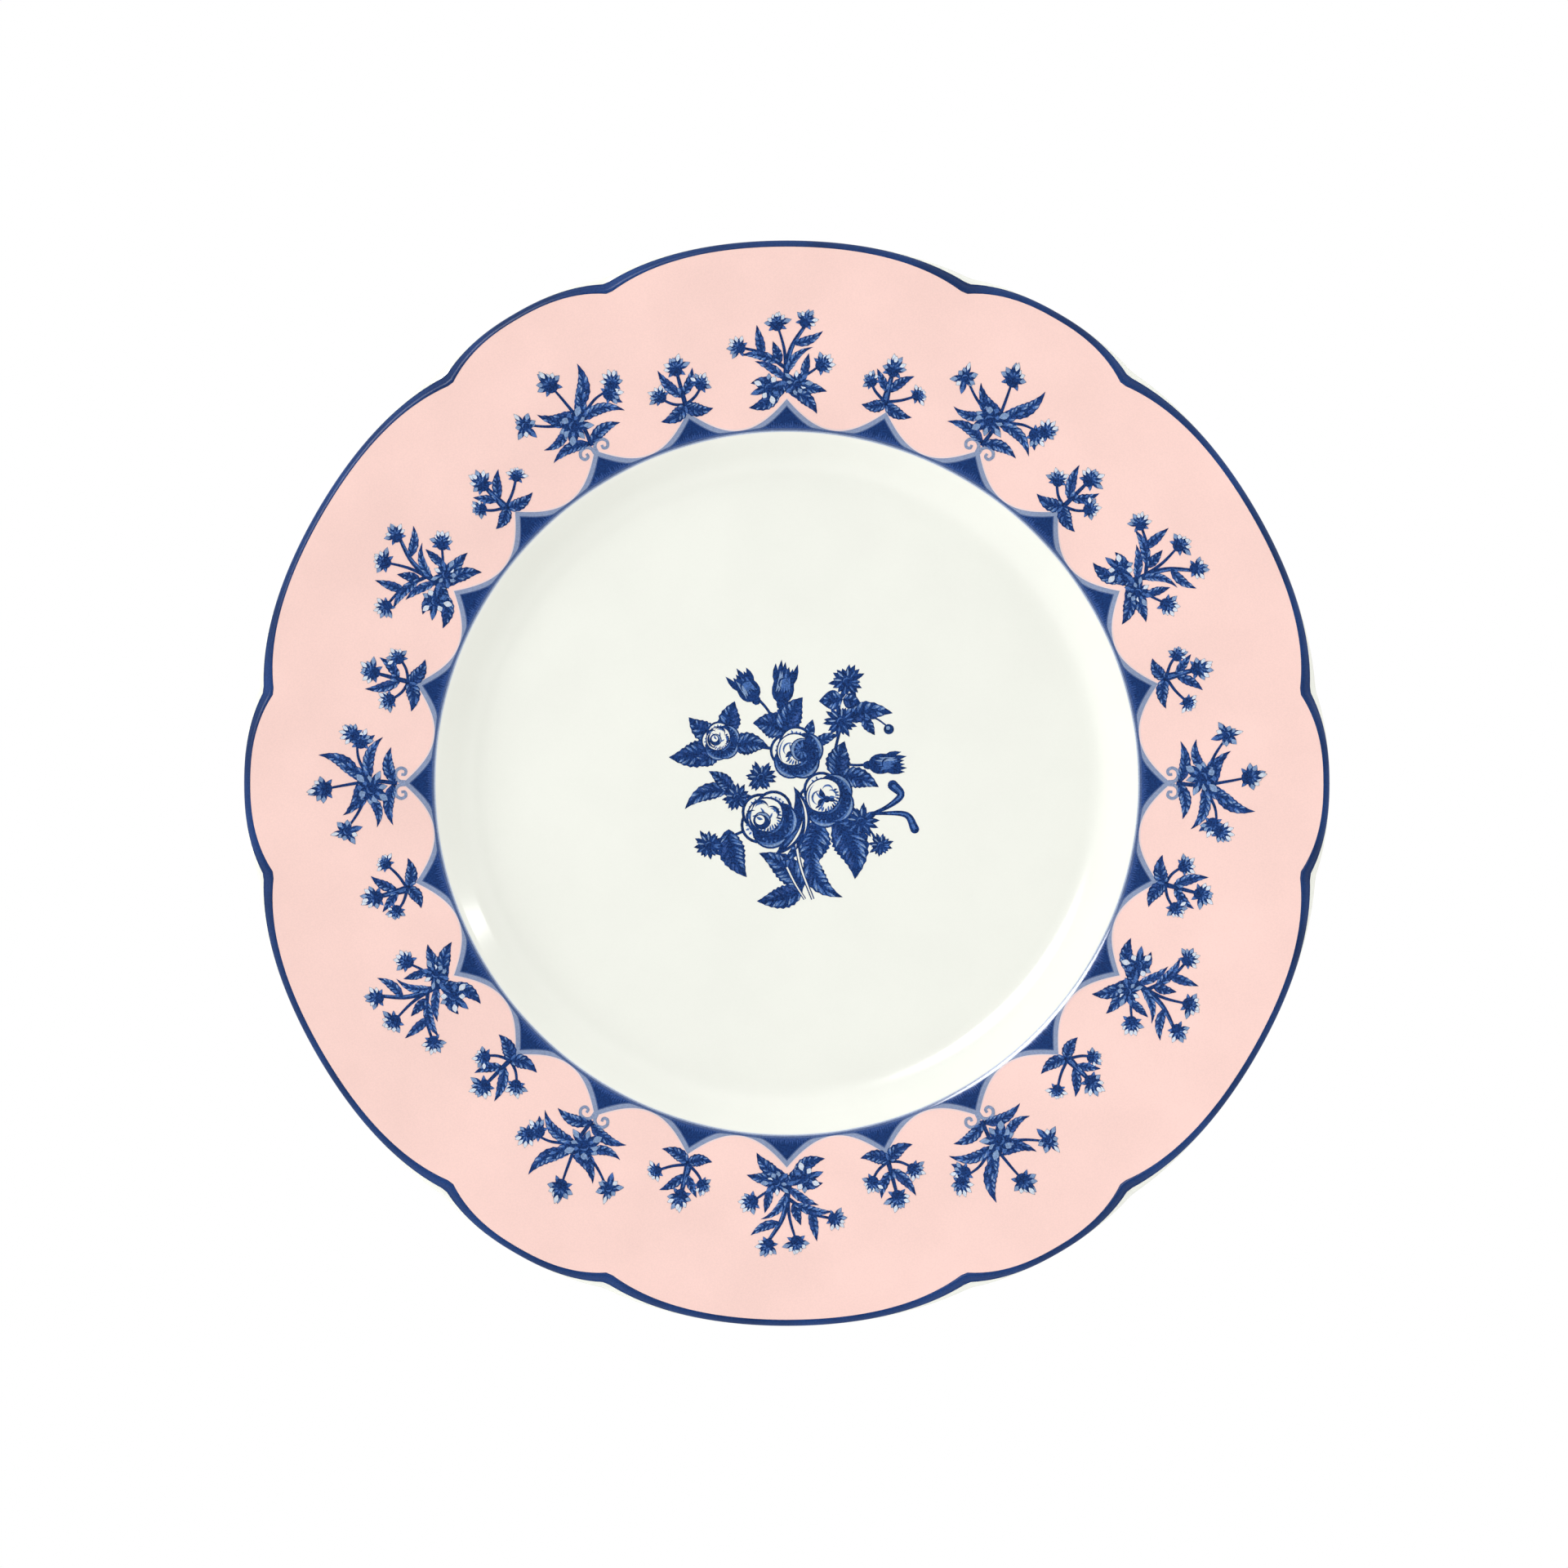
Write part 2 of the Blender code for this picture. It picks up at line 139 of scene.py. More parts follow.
# Colours as red, green, blue in linear light.
PORCELAIN = (0.88, 0.89, 0.83)
BARE_FOOT = (0.78, 0.75, 0.68)
GROUND_PINK = (0.945, 0.662, 0.612)
LINE_NAVY = (0.012, 0.040, 0.15)

# Each ink's colour, and how much it grains.
INKS = {
    "dark": ((0.009, 0.036, 0.15), 0.55),
    "dusk": ((0.028, 0.070, 0.24), 0.50),
    "mid": ((0.055, 0.130, 0.36), 0.40),
    "slate": ((0.065, 0.110, 0.26), 0.30),
    "light": ((0.20, 0.30, 0.50), 0.25),
    "mist": ((0.25, 0.31, 0.47), 0.20),
    "pale": ((0.62, 0.68, 0.78), 0.12),
    "halo": ((0.84, 0.66, 0.66), 0.02),
}
PRINT_TONES = ("dark", "dusk", "mid", "light", "pale", "mist")
BARE = "bare"  # no ink: the white glaze shows

# How fine the noises in the glaze are, in turns a metre.
CLOUD_SCALE = 45.0
RIPPLE_SCALE = 220.0
GRAIN_SCALE = 2600.0
RIPPLE_STRENGTH = 0.05
RIPPLE_HEIGHT = 0.05 * MM


# Materials.


def glaze(name, colour, spread, grain, roughness=0.10, mottle=0.0, shine=0.5):
    """Glossy glaze whose colour clouds and grains by a share of itself.

    spread is how far the colour drifts over centimetres, and grain over tenths
    of a millimetre, where the ink or enamel lies thicker or thinner. mottle
    roughens the ripple of the surface, and shine is the reflection's level.
    """
    material = bpy.data.materials.new(name)
    material.use_nodes = True
    nodes = material.node_tree.nodes
    links = material.node_tree.links
    shader = nodes["Principled BSDF"]
    shader.inputs["Roughness"].default_value = roughness
    shader.inputs["IOR"].default_value = 1.5
    shader.inputs["Specular IOR Level"].default_value = shine
    place = nodes.new("ShaderNodeTexCoord")
    clouds = noise(nodes, links, place, CLOUD_SCALE, 3.0)
    grains = noise(nodes, links, place, GRAIN_SCALE, 2.0)
    drift = mix_by(nodes, links, clouds, shade(colour, 1 - spread), shade(colour, 1 + spread))
    fine = nodes.new("ShaderNodeMix")
    fine.data_type = "RGBA"
    fine.blend_type = "MULTIPLY"
    fine.inputs["Factor"].default_value = 1.0
    speckle = mix_by(nodes, links, grains, (1 - grain,) * 3, (1 + grain,) * 3)
    links.new(drift, fine.inputs["A"])
    links.new(speckle, fine.inputs["B"])
    links.new(fine.outputs["Result"], shader.inputs["Base Color"])
    ripple = nodes.new("ShaderNodeBump")
    ripple.inputs["Strength"].default_value = RIPPLE_STRENGTH + mottle
    ripple.inputs["Distance"].default_value = RIPPLE_HEIGHT
    links.new(noise(nodes, links, place, RIPPLE_SCALE, 1.0), ripple.inputs["Height"])
    links.new(ripple.outputs["Normal"], shader.inputs["Normal"])
    return material


def ink_glaze(name, tone, spread, grain_share=1.0):
    """The glazed ink of this tone, with all of its grain or a share of it."""
    colour, grain = INKS[tone]
    return glaze(f"{name}_{tone}", colour, spread, grain * grain_share)


def noise(nodes, links, place, scale, detail):
    texture = nodes.new("ShaderNodeTexNoise")
    texture.inputs["Scale"].default_value = scale
    texture.inputs["Detail"].default_value = detail
    links.new(place.outputs["Object"], texture.inputs["Vector"])
    return texture.outputs["Fac"]


def mix_by(nodes, links, factor, low, high, edges=(0.35, 0.65)):
    """A colour that runs from low to high as the factor passes between the edges."""
    ramp = nodes.new("ShaderNodeValToRGB")
    for end, colour in enumerate((low, high)):
        ramp.color_ramp.elements[end].position = edges[end]
        ramp.color_ramp.elements[end].color = (*colour, 1.0)
    links.new(factor, ramp.inputs["Fac"])
    return ramp.outputs["Color"]


def shade(colour, share):
    """The colour made lighter or darker, but never a full white."""
    return tuple(min(0.98, channel * share) for channel in colour)


# The porcelain's profile.


def shoulder_point(slope, below=0.0):
    """Point of the shoulder where the surface has this slope, or below it in the wall."""
    centre_radius = SHOULDER_RADIUS + SHOULDER_CURVE * math.sin(RIM_SLOPE)
    centre_height = FLOOR_HEIGHT + WALL_RISE - SHOULDER_CURVE * math.cos(RIM_SLOPE)
    reach = SHOULDER_CURVE - below
    return centre_radius - reach * math.sin(slope), centre_height + reach * math.cos(slope)


def cove_start():
    """Plate radius where the level floor ends."""
    cove_rise = COVE_RADIUS * (1 - math.cos(WALL_SLOPE))
    shoulder_rise = SHOULDER_CURVE * (math.cos(RIM_SLOPE) - math.cos(WALL_SLOPE))
    straight_rise = WALL_RISE - cove_rise - shoulder_rise
    run = straight_rise / math.tan(WALL_SLOPE) + COVE_RADIUS * math.sin(WALL_SLOPE)
    return shoulder_point(WALL_SLOPE)[0] - run


def cove_point(slope, below=0.0):
    """Point of the cove where the surface has this slope, or below it in the wall."""
    reach = COVE_RADIUS + below
    centre_height = FLOOR_HEIGHT + COVE_RADIUS
    return cove_start() + reach * math.sin(slope), centre_height - reach * math.cos(slope)


def rim_height(radius):
    """Height of the rim's top surface, before the notches."""
    return FLOOR_HEIGHT + WALL_RISE + (radius - SHOULDER_RADIUS) * math.tan(RIM_SLOPE)


def top_slope(radius):
    """Slope of the top surface over the floor, the shoulder and the rim."""
    if radius <= cove_start():
        return 0.0
    if radius >= SHOULDER_RADIUS:
        return RIM_SLOPE
    centre_radius = shoulder_point(0.0, SHOULDER_CURVE)[0]
    return math.asin(min(1.0, (centre_radius - radius) / SHOULDER_CURVE))


def top_height(radius):
    if radius <= cove_start():
        return FLOOR_HEIGHT
    if radius >= SHOULDER_RADIUS:
        return rim_height(radius)
    return shoulder_point(top_slope(radius))[1]


def steps_between(first, last, count):
    """count + 1 evenly spaced values from first to last."""
    return [first + (last - first) * step / count for step in range(count + 1)]


def lip_point(turn, lift=0.0):
    """Point of the lip's half round, turned from the top surface by this angle."""
    height = rim_height(LIP_START) - LIP_CURVE * math.cos(RIM_SLOPE)
    centre = complex(LIP_START + LIP_CURVE * math.sin(RIM_SLOPE), height)
    point = centre + cmath.rect(LIP_CURVE + lift, math.pi / 2 + RIM_SLOPE - turn)
    return point.real, point.imag


def foot_profile():
    """Section of the foot ring, from its outer root down to the table and up again."""
    outer = FOOT_RADIUS + FOOT_WIDTH / 2
    flare = outer + FOOT_CORNER + FOOT_FLARE
    outside = [
        (flare + FOOT_FILLET, FLOOR_UNDERSIDE),
        (flare + FOOT_FILLET * 0.2, FLOOR_UNDERSIDE - FOOT_FILLET * 0.3),
    ]
    for turn in steps_between(0.0, math.pi / 2, 4):
        radius = outer + FOOT_CORNER * math.cos(turn)
        outside.append((radius, FOOT_CORNER * (1 - math.sin(turn))))
    inside = [(2 * FOOT_RADIUS - radius, height) for radius, height in reversed(outside)]
    return outside + inside


def plate_profile():
    """Half section of the porcelain, from the middle of the well round to its underside."""
    middle, floor_end = FLOOR_ROWS
    rim_rows = steps_between(RIM_START, LIP_START - 0.8 * MM, 14)
    under_rows = steps_between(LIP_START - 1.0 * MM, UNDER_RIM_START, 8)
    above_foot = 0.42  # slope of the cove's underside where it meets the foot ring
    top = [(radius, FLOOR_HEIGHT) for radius in steps_between(middle, floor_end, 8)]
    top += [cove_point(slope) for slope in steps_between(0.0, WALL_SLOPE, 10)]
    top += [shoulder_point(slope) for slope in steps_between(WALL_SLOPE, RIM_SLOPE, 16)]
    top += [(radius, rim_height(radius)) for radius in rim_rows]
    lip = [lip_point(turn) for turn in steps_between(0.0, math.pi, 20)]
    under = [(radius, rim_height(radius) - RIM_THICKNESS) for radius in under_rows]
    under += [shoulder_point(slope, FLOOR_THICKNESS) for slope in (RIM_SLOPE, WALL_SLOPE)]
    under += [
        cove_point(slope, FLOOR_THICKNESS) for slope in steps_between(WALL_SLOPE, above_foot, 4)
    ]
    base = [(radius, FLOOR_UNDERSIDE) for radius in steps_between(FOOT_INSIDE, middle, 6)]
    return top + lip + under + foot_profile() + base


def notch_drop(angle):
    """How far the lip stands inside the plate's full radius at this plate angle."""
    half_wide = WIDE_LOBE / 2
    half_narrow = LOBE_PAIR / 2 - half_wide
    from_wide = abs(math.remainder(angle - math.pi / 2, LOBE_PAIR))
    if from_wide <= half_wide:
        return NOTCH_DEPTH * (from_wide / half_wide) ** WIDE_LOBE_POWER
    from_narrow = LOBE_PAIR / 2 - from_wide
    return NOTCH_DEPTH * (from_narrow / half_narrow) ** NARROW_LOBE_POWER


def scalloped(radius, height, angle):
    """A turned point moved in for the notches: fully at the top, less under the ledge."""
    if radius <= SCALLOP_START:
        return radius, height
    outwards = min(1.0, (radius - SCALLOP_START) / (LIP_START - SCALLOP_START))
    depth = rim_height(radius) - height
    ledge = (depth - NOTCH_LEDGE_TOP) / (NOTCH_LEDGE_END - NOTCH_LEDGE_TOP)
    ledge = min(1.0, max(0.0, ledge))
    share = 1.0 - (1.0 - UNDER_NOTCH_SHARE) * ledge * ledge * (3 - 2 * ledge)
    inwards = notch_drop(angle) * outwards * share
    return radius - inwards, height - inwards * math.tan(RIM_SLOPE)


# Meshes.


def new_object(name, data):
    thing = bpy.data.objects.new(name, data)
    bpy.context.scene.collection.objects.link(thing)
    return thing


def new_piece(name, mesh, node):
    """A piece of the plate's one body that stands for a CAD node."""
    piece = new_object(name, mesh)
    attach(piece, "root")
    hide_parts(node)
    return piece


def turned_mesh(name, rows, steps, closed):
    """A surface through rows, each a function from the plate angle to (radius, height)."""
    vertices = []
    for row in rows:
        for step in range(steps):
            angle = math.tau * step / steps
            radius, height = row(angle)
            vertices.append((radius * math.cos(angle), radius * math.sin(angle), height))
    faces = []
    spans = len(rows) if closed else len(rows) - 1
    for span in range(spans):
        near, far = span * steps, (span + 1) % len(rows) * steps
        for step in range(steps):
            after = (step + 1) % steps
            faces.append((near + step, far + step, far + after, near + after))
    if not closed:
        last = (len(rows) - 1) * steps
        faces.append(tuple(range(steps)))
        faces.append(tuple(last + step for step in reversed(range(steps))))
    mesh = bpy.data.meshes.new(name)
    mesh.from_pydata(vertices, [], faces)
    mesh.shade_smooth()
    return mesh


def skin_mesh(name, points, faces, tones, inks, layer):
    """A closed skin over the porcelain from flat faces, each in one ink."""
    low, high = layer
    count = len(points)
    vertices = [(x, y, top_height(math.hypot(x, y)) + high) for x, y in points]
    vertices += [(x, y, top_height(math.hypot(x, y)) + low) for x, y in points]
    shell = [list(face) for face in faces]
    shell += [[corner + count for corner in reversed(face)] for face in faces]
    tone_of = list(tones) * 2
    sides = {}
    for face, tone in zip(faces, tones):
        for start, end in zip(face, list(face[1:]) + [face[0]]):
            sides[start, end] = tone
    for (start, end), tone in sides.items():
        if (end, start) not in sides:
            shell.append([start, start + count, end + count, end])
            tone_of.append(tone)
    mesh = bpy.data.meshes.new(name)
    mesh.from_pydata(vertices, [], shell)
    for ink in inks:
        mesh.materials.append(ink)
    mesh.polygons.foreach_set("material_index", tone_of)
    mesh.shade_smooth()
    mesh.normals_split_custom_set(skin_normals(mesh, len(faces)))
    return mesh


def skin_normals(mesh, top_faces):
    """The porcelain's own normals on the top of a skin, and flat ones elsewhere."""
    normals = []
    for polygon in mesh.polygons:
        for corner in polygon.vertices:
            if polygon.index >= top_faces:
                normals.append(polygon.normal)
                continue
            x, y, _ = mesh.vertices[corner].co
            radius = max(math.hypot(x, y), 1e-6)
            slope = top_slope(radius)
            lean = -math.sin(slope) / radius
            normals.append((x * lean, y * lean, math.cos(slope)))
    return normals


def make_body():
    """The porcelain, with white glaze all over but for the face that it stands on."""
    rows = []
    for radius, height in plate_profile():
        rows.append(lambda angle, r=radius, h=height: scalloped(r, h, angle))
    mesh = turned_mesh("porcelain", rows, BODY_STEPS, closed=False)
    white = glaze("porcelain_glaze", PORCELAIN, spread=0.012, grain=0.004, roughness=0.16)
    bare = glaze("bare_foot", BARE_FOOT, spread=0.06, grain=0.10, roughness=0.65, mottle=0.5)
    mesh.materials.append(white)
    mesh.materials.append(bare)
    standing = 0.05 * MM
    for polygon in mesh.polygons:
        low = all(mesh.vertices[corner].co.z < standing for corner in polygon.vertices)
        polygon.material_index = 1 if low else 0
    new_piece("porcelain", mesh, "plate_body")


# The painted line, the ground and the arcade border.


def line_inner(angle):
    """Plate radius of the painted line's inner edge at this plate angle."""
    return PLATE_RADIUS - LINE_WIDTH - LINE_NOTCH_SHARE * notch_drop(angle)


def make_lip_line():
    """The painted line, from the rim round the top of the lip to its outermost part."""
    turns = steps_between(0.0, math.radians(80), 12)

    def on_rim(lift):
        return lambda angle: (line_inner(angle), rim_height(line_inner(angle)) + lift)

    def on_lip(turn, lift):
        point = lip_point(turn, lift)
        return lambda angle: scalloped(*point, angle)

    rows = [on_rim(0.0), on_rim(LINE_TOP)]
    rows += [on_lip(turn, LINE_TOP) for turn in turns]
    rows += [on_lip(turn, 0.0) for turn in reversed(turns)]
    mesh = turned_mesh("lip_line", rows, BODY_STEPS, closed=True)
    ink = glaze("lip_line_ink", LINE_NAVY, spread=0.25, grain=0.15, roughness=0.30, shine=0.15)
    mesh.materials.append(ink)
    new_piece("lip_line", mesh, "lip_line_band")


def ring_skin(name, rows, tone_at, inks, layer, steps):
    """A skin between rows, each a function from the plate angle to a radius.

    Rows may touch: points that coincide become one, and faces of no width are left out.
    """
    points, faces, tones, known = [], [], [], {}

    def corner(row, step):
        angle = math.tau * step / steps
        radius = row(angle)
        key = step % steps, round(radius / SAME_POINT)
        if key not in known:
            known[key] = len(points)
            points.append((radius * math.cos(angle), radius * math.sin(angle)))
        return known[key]

    for span, (near, far) in enumerate(zip(rows, rows[1:])):
        for step in range(steps):
            start = [corner(near, step), corner(far, step)]
            end = [corner(far, step + 1), corner(near, step + 1)]
            face = list(dict.fromkeys(start + end))
            if len(face) > 2:
                faces.append(face)
                tones.append(tone_at(span))
    return skin_mesh(name, points, faces, tones, inks, layer)


def between(inner, outer, share):
    """The row that lies this share of the way from one row to another."""
    return lambda angle: inner(angle) + (outer(angle) - inner(angle)) * share


def spandrel_share(angle):
    """0 over a spandrel's tip, 1 where two spandrels meet."""
    pitch = math.tau / SPANDRELS
    return abs(math.remainder(angle, pitch)) / (pitch / 2)


def arcade_edge(angle):
    """Plate radius of the border's outer edge: a spandrel's tip, or the valley between two."""
    fall = (1 - spandrel_share(angle)) ** SPANDREL_POWER
    return ARCADE_LINE + (SPANDREL_TIP - ARCADE_LINE) * fall


def triangle_edge(angle):
    """Outer edge of the dark triangle inside each spandrel."""
    fall = max(0.0, 1 - spandrel_share(angle) / TRIANGLE_HALF) ** TRIANGLE_POWER
    return TRIANGLE_BASE + (TRIANGLE_TIP - TRIANGLE_BASE) * fall


def make_rim_ground():
    """The pink ground, from the arcade border to just under the painted line."""

    def outer(angle):
        return line_inner(angle) + GROUND_OVERLAP

    shares = (0.0, 0.02, 0.06, 0.2, 0.5, 0.8, 1.0)
    rows = [between(arcade_edge, outer, share) for share in shares]
    enamel = glaze("rim_ground_enamel", GROUND_PINK, spread=0.025, grain=0.02)
    mesh = ring_skin("rim_ground", rows, lambda span: 0, [enamel], GROUND_LAYER, BODY_STEPS)
    new_piece("rim_ground", mesh, "rim_colour_ground")


def hatch_strokes():
    """How far each stroke of the hatching reaches, long and short by turns."""
    dice = random.Random(3)
    reaches = ((0.0, 0.3), (0.5, 1.0))
    return [dice.uniform(*reaches[step % 2]) for step in range(BORDER_STEPS)]


def make_arcade():
    """The border, in strips from the well outwards, each with its ink."""
    strokes = hatch_strokes()

    def level(radius):
        return lambda angle: radius

    def hatch_edge(angle):
        stroke = strokes[round(angle / math.tau * BORDER_STEPS) % BORDER_STEPS]
        return min(triangle_edge(angle), TRIANGLE_BASE + (HATCH_TOP - TRIANGLE_BASE) * stroke)

    def halo_edge(angle):
        return arcade_edge(angle) + HALO_WIDTH

    strips = [
        (level(THIN_LINE_INNER), "pale"),
        (level(THIN_LINE_OUTER), "mist"),
        (level(TRIANGLE_BASE), "slate"),
        (hatch_edge, "dusk"),
        (triangle_edge, "dark"),
        (between(triangle_edge, arcade_edge, 0.2), "slate"),
        (arcade_edge, "mist"),
        (halo_edge, "halo"),
    ]
    rows = [level(ARCADE_INNER)] + [edge for edge, _ in strips]
    tones = sorted({tone for _, tone in strips})
    inks = [ink_glaze("arcade", tone, spread=0.06, grain_share=0.5) for tone in tones]

    def tone_at(span):
        return tones.index(strips[span][1])

    mesh = ring_skin("arcade_border", rows, tone_at, inks, BORDER_LAYER, BORDER_STEPS)
    new_piece("arcade_border", mesh, "arcade_border_transfer")


# Drawing: outlines in millimetres as complex numbers, x across and y outwards.
# A shape is an outline with its ink, and a later shape covers the ones before.
# Angles are in degrees, and a flower's parts are shares of its radius or width.


def polar(length, degrees):
    """A step of this length in this direction."""
    return cmath.rect(length, math.radians(degrees))


def smooth_line(points, steps=6):
    """A curve through the points (Catmull-Rom)."""
    ends = [2 * points[0] - points[1]] + list(points) + [2 * points[-1] - points[-2]]
    line = []
    for before, start, end, after in zip(ends, ends[1:], ends[2:], ends[3:]):
        for step in range(steps):
            t = step / steps
            pull = (end - before) * t + (2 * before - 5 * start + 4 * end - after) * t * t
            line.append(start + (pull + (3 * start - before - 3 * end + after) * t**3) / 2)
    return line + [points[-1]]


def stem(points, start_width, end_width, ink="dark", steps=6):
    """A band along a smooth line, with its width running from one end's to the other's."""
    line = smooth_line(points, steps)
    last = len(line) - 1
    left, right = [], []
    for index, point in enumerate(line):
        heading = line[min(index + 1, last)] - line[max(index - 1, 0)]
        side = 1j * heading / abs(heading)
        half = (start_width + (end_width - start_width) * index / last) / 2
        left.append(point + side * half)
        right.append(point - side * half)
    return [(left + right[::-1], ink)]


def disc(centre, radius, ink, corners=14):
    return [([centre + polar(radius, 360 * i / corners) for i in range(corners)], ink)]


def lens(start, end, width, ink, bend=0.0, steps=4):
    """A stroke pointed at both ends and widest in its middle."""
    reach = end - start
    side = 1j * reach / abs(reach)
    left, right = [], []
    for t in steps_between(0.0, 1.0, steps)[1:-1]:
        middle = start + reach * t + 4 * side * abs(reach) * bend * t * (1 - t)
        half = side * width / 2 * math.sin(math.pi * t)
        left.append(middle + half)
        right.append(middle - half)
    return [([start] + left + [end] + right[::-1], ink)]


def leaf(base, tip, width, bend=0.0, teeth=6, cells=4):
    """A toothed leaf: a dark blade with lighter, uneven strokes between its veins."""
    reach = tip - base
    dice = random.Random(int(abs(base) * 10 + abs(tip) * 100))

    def place(t, across):
        middle = base + reach * t + 4j * reach * bend * t * (1 - t)
        heading = reach * (1 + 4j * bend * (1 - 2 * t))
        half = width / 2 * math.sin(math.pi * min(1.0, max(0.0, t)) ** 0.75)
        return middle + 1j * heading / abs(heading) * half * across

    spots = steps_between(0.0, 1.0, 2 * max(teeth, 5))[1:-1]
    depths = [0.88 if teeth and number % 2 else 1.0 for number in range(len(spots))]
    left = [place(t, depth) for t, depth in zip(spots, depths)]
    right = [place(t, -depth) for t, depth in zip(spots, depths)]
    shapes = [([base] + left + [tip] + right[::-1], "dark")]
    pitch = 0.70 / cells
    for number in range(cells):
        for side in (1, -1):
            start = 0.08 + pitch * (number + dice.uniform(0.0, 0.35))
            inner = place(start, dice.uniform(0.10, 0.26) * side)
            outer = place(start + dice.uniform(0.10, 0.20), dice.uniform(0.70, 0.95) * side)
            room = min(pitch * abs(reach) * 0.62, abs(outer - inner) * 0.42)
            thick = room * dice.uniform(0.8, 1.15)
            sunny = side == 1 or dice.random() < 0.45
            shapes += lens(inner, outer, thick, "mid" if sunny else "dusk", 0.07 * side)
            if sunny and dice.random() < 0.8:
                middle, end = inner * 0.6 + outer * 0.4, inner * 0.05 + outer * 0.95
                shapes += lens(middle, end, thick * 0.55, "light", 0.07 * side)
    return shapes


def petal(centre, direction, reach, width, tip_ink):
    """A pointed petal: dark, with a mid streak and a paler tip."""
    along = polar(reach, direction)
    shapes = lens(centre, centre + along, width, "dark", steps=6)
    shapes += lens(centre + along * 0.18, centre + along * 0.60, width * 0.34, "mid")
    shapes += lens(centre + along * 0.46, centre + along * 0.97, width * 0.62, tip_ink, steps=5)
    return shapes


def tuft(centre, radius, direction, seed):
    """A small blossom seen from the side: pale ragged petal tips over a dark cup."""
    dice = random.Random(seed)
    heading = polar(1, direction)
    shapes = []
    for aside in (-125, 118):
        turn = direction + aside + dice.uniform(-12, 12)
        shapes += petal(centre - heading * radius * 0.3, turn, radius, radius * 0.40, "mid")
    for aside in (-84, 80, -52, 50, -22, 20, -2):
        turn = direction + aside + dice.uniform(-9, 9)
        reach = radius * dice.uniform(0.95, 1.45)
        ink = dice.choice(("pale", "light" if abs(aside) > 60 else "pale", "light"))
        shapes += petal(centre - heading * radius * 0.25, turn, reach, radius * 0.60, ink)
    low, high = centre - heading * radius * 0.95, centre + heading * radius * 0.42
    shapes += egg(low, high, radius * 1.05, "dark")
    for aside in (-75, -30, 25, 70):
        foot = centre + polar(radius * 0.10, direction + aside) - heading * radius * 0.1
        tip = foot + polar(radius * dice.uniform(0.35, 0.55), direction + aside)
        shapes += lens(foot, tip, radius * 0.16, "mid")
    return shapes


def star_blossom(centre, radius, seed):
    """An open blossom of uneven pale-tipped petals round a dark eye."""
    dice = random.Random(seed)
    shapes = []
    petals = 9
    for number in range(petals):
        turn = 90 + 360 * number / petals + dice.uniform(-14, 14)
        reach = radius * dice.uniform(0.72, 1.30)
        ink = dice.choice(("pale", "light", "light", "mid"))
        shapes += petal(centre, turn, reach, radius * dice.uniform(0.42, 0.60), ink)
    shapes += disc(centre, radius * 0.34, "dark", 12)
    shapes += crescent(centre, radius * 0.24, 130, 160, radius * 0.10, "mid")
    return shapes


def aster(centre, radius, seed):
    """A star flower: a dense ragged ring of dark rays, some split by a lighter stroke."""
    dice = random.Random(seed)
    rays = 17
    turns = [360 * (number + dice.uniform(-0.3, 0.3)) / rays for number in range(rays)]
    shapes = disc(centre, radius * 0.62, "dark", 18)
    for turn in turns:
        tip = centre + polar(radius * dice.uniform(0.80, 1.15), turn)
        shapes += lens(centre + polar(radius * 0.1, turn), tip, radius * 0.34, "dark")
    for turn in turns[::2]:
        ink = "light" if math.cos(math.radians(turn - 135)) > 0.5 else "mid"
        foot, tip = centre + polar(radius * 0.30, turn), centre + polar(radius * 0.80, turn + 5)
        shapes += lens(foot, tip, radius * 0.11, ink)
    shapes += crescent(centre, radius * 0.22, 120, 170, radius * 0.08, "mid")
    return shapes


def egg(base, tip, width, ink, corners=16):
    """An oval that is broader towards its base."""
    middle, reach = (base + tip) / 2, (tip - base) / 2
    side = 1j * reach / abs(reach) * width / 2
    outline = []
    for i in range(corners):
        turn = math.tau * i / corners
        taper = 1 - 0.25 * math.cos(turn)
        outline.append(middle + reach * math.cos(turn) + side * math.sin(turn) * taper)
    return [(outline, ink)]


def bud(base, tip, width):
    """A closed rosebud on its swollen calyx, with ragged petal tips at its mouth."""
    dice = random.Random(int(abs(base) * 10))
    reach = tip - base
    side = 1j * reach / abs(reach) * width / 2
    shapes = []
    for lean in (-0.95, -0.6, -0.25, 0.1, 0.45, 0.9):
        root = base + reach * 0.35 + side * lean * 0.5
        spike = base + reach * dice.uniform(0.84, 1.05) + side * lean * 1.1
        shapes += lens(root, spike, width * 0.30, "dark", 0.05 * lean)
    shapes += egg(base + reach * 0.04, base + reach * 0.84, width, "dark", 18)
    for aside in (0.64, 0.40, 0.12, -0.16, -0.44, -0.66):
        low = base + reach * dice.uniform(0.20, 0.32) + side * aside
        high = base + reach * dice.uniform(0.60, 0.84) + side * aside * 0.75
        ink = "light" if aside > 0.3 else "mid"
        shapes += lens(low, high, width * 0.13, ink, -0.10 * aside, 6)
    shapes += crescent(base + reach * 0.50, width * 0.26, 150, 200, width * 0.09, "dark")
    shapes += egg(base - reach * 0.10, base + reach * 0.24, width * 0.42, "dark", 10)
    return shapes


def crescent(centre, radius, turn, spread, thick, ink):
    """An arc that swells in the middle, for a petal's fold or its shaded side."""
    count = 12
    turns = [turn - spread / 2 + spread * i / count for i in range(count + 1)]
    outer = [centre + polar(radius, angle) for angle in turns]
    inner = []
    for i, angle in enumerate(turns):
        swell = math.sin(math.pi * i / count)
        inner.append(centre + polar(radius - thick * swell, angle))
    return [(outer + inner[-2:0:-1], ink)]


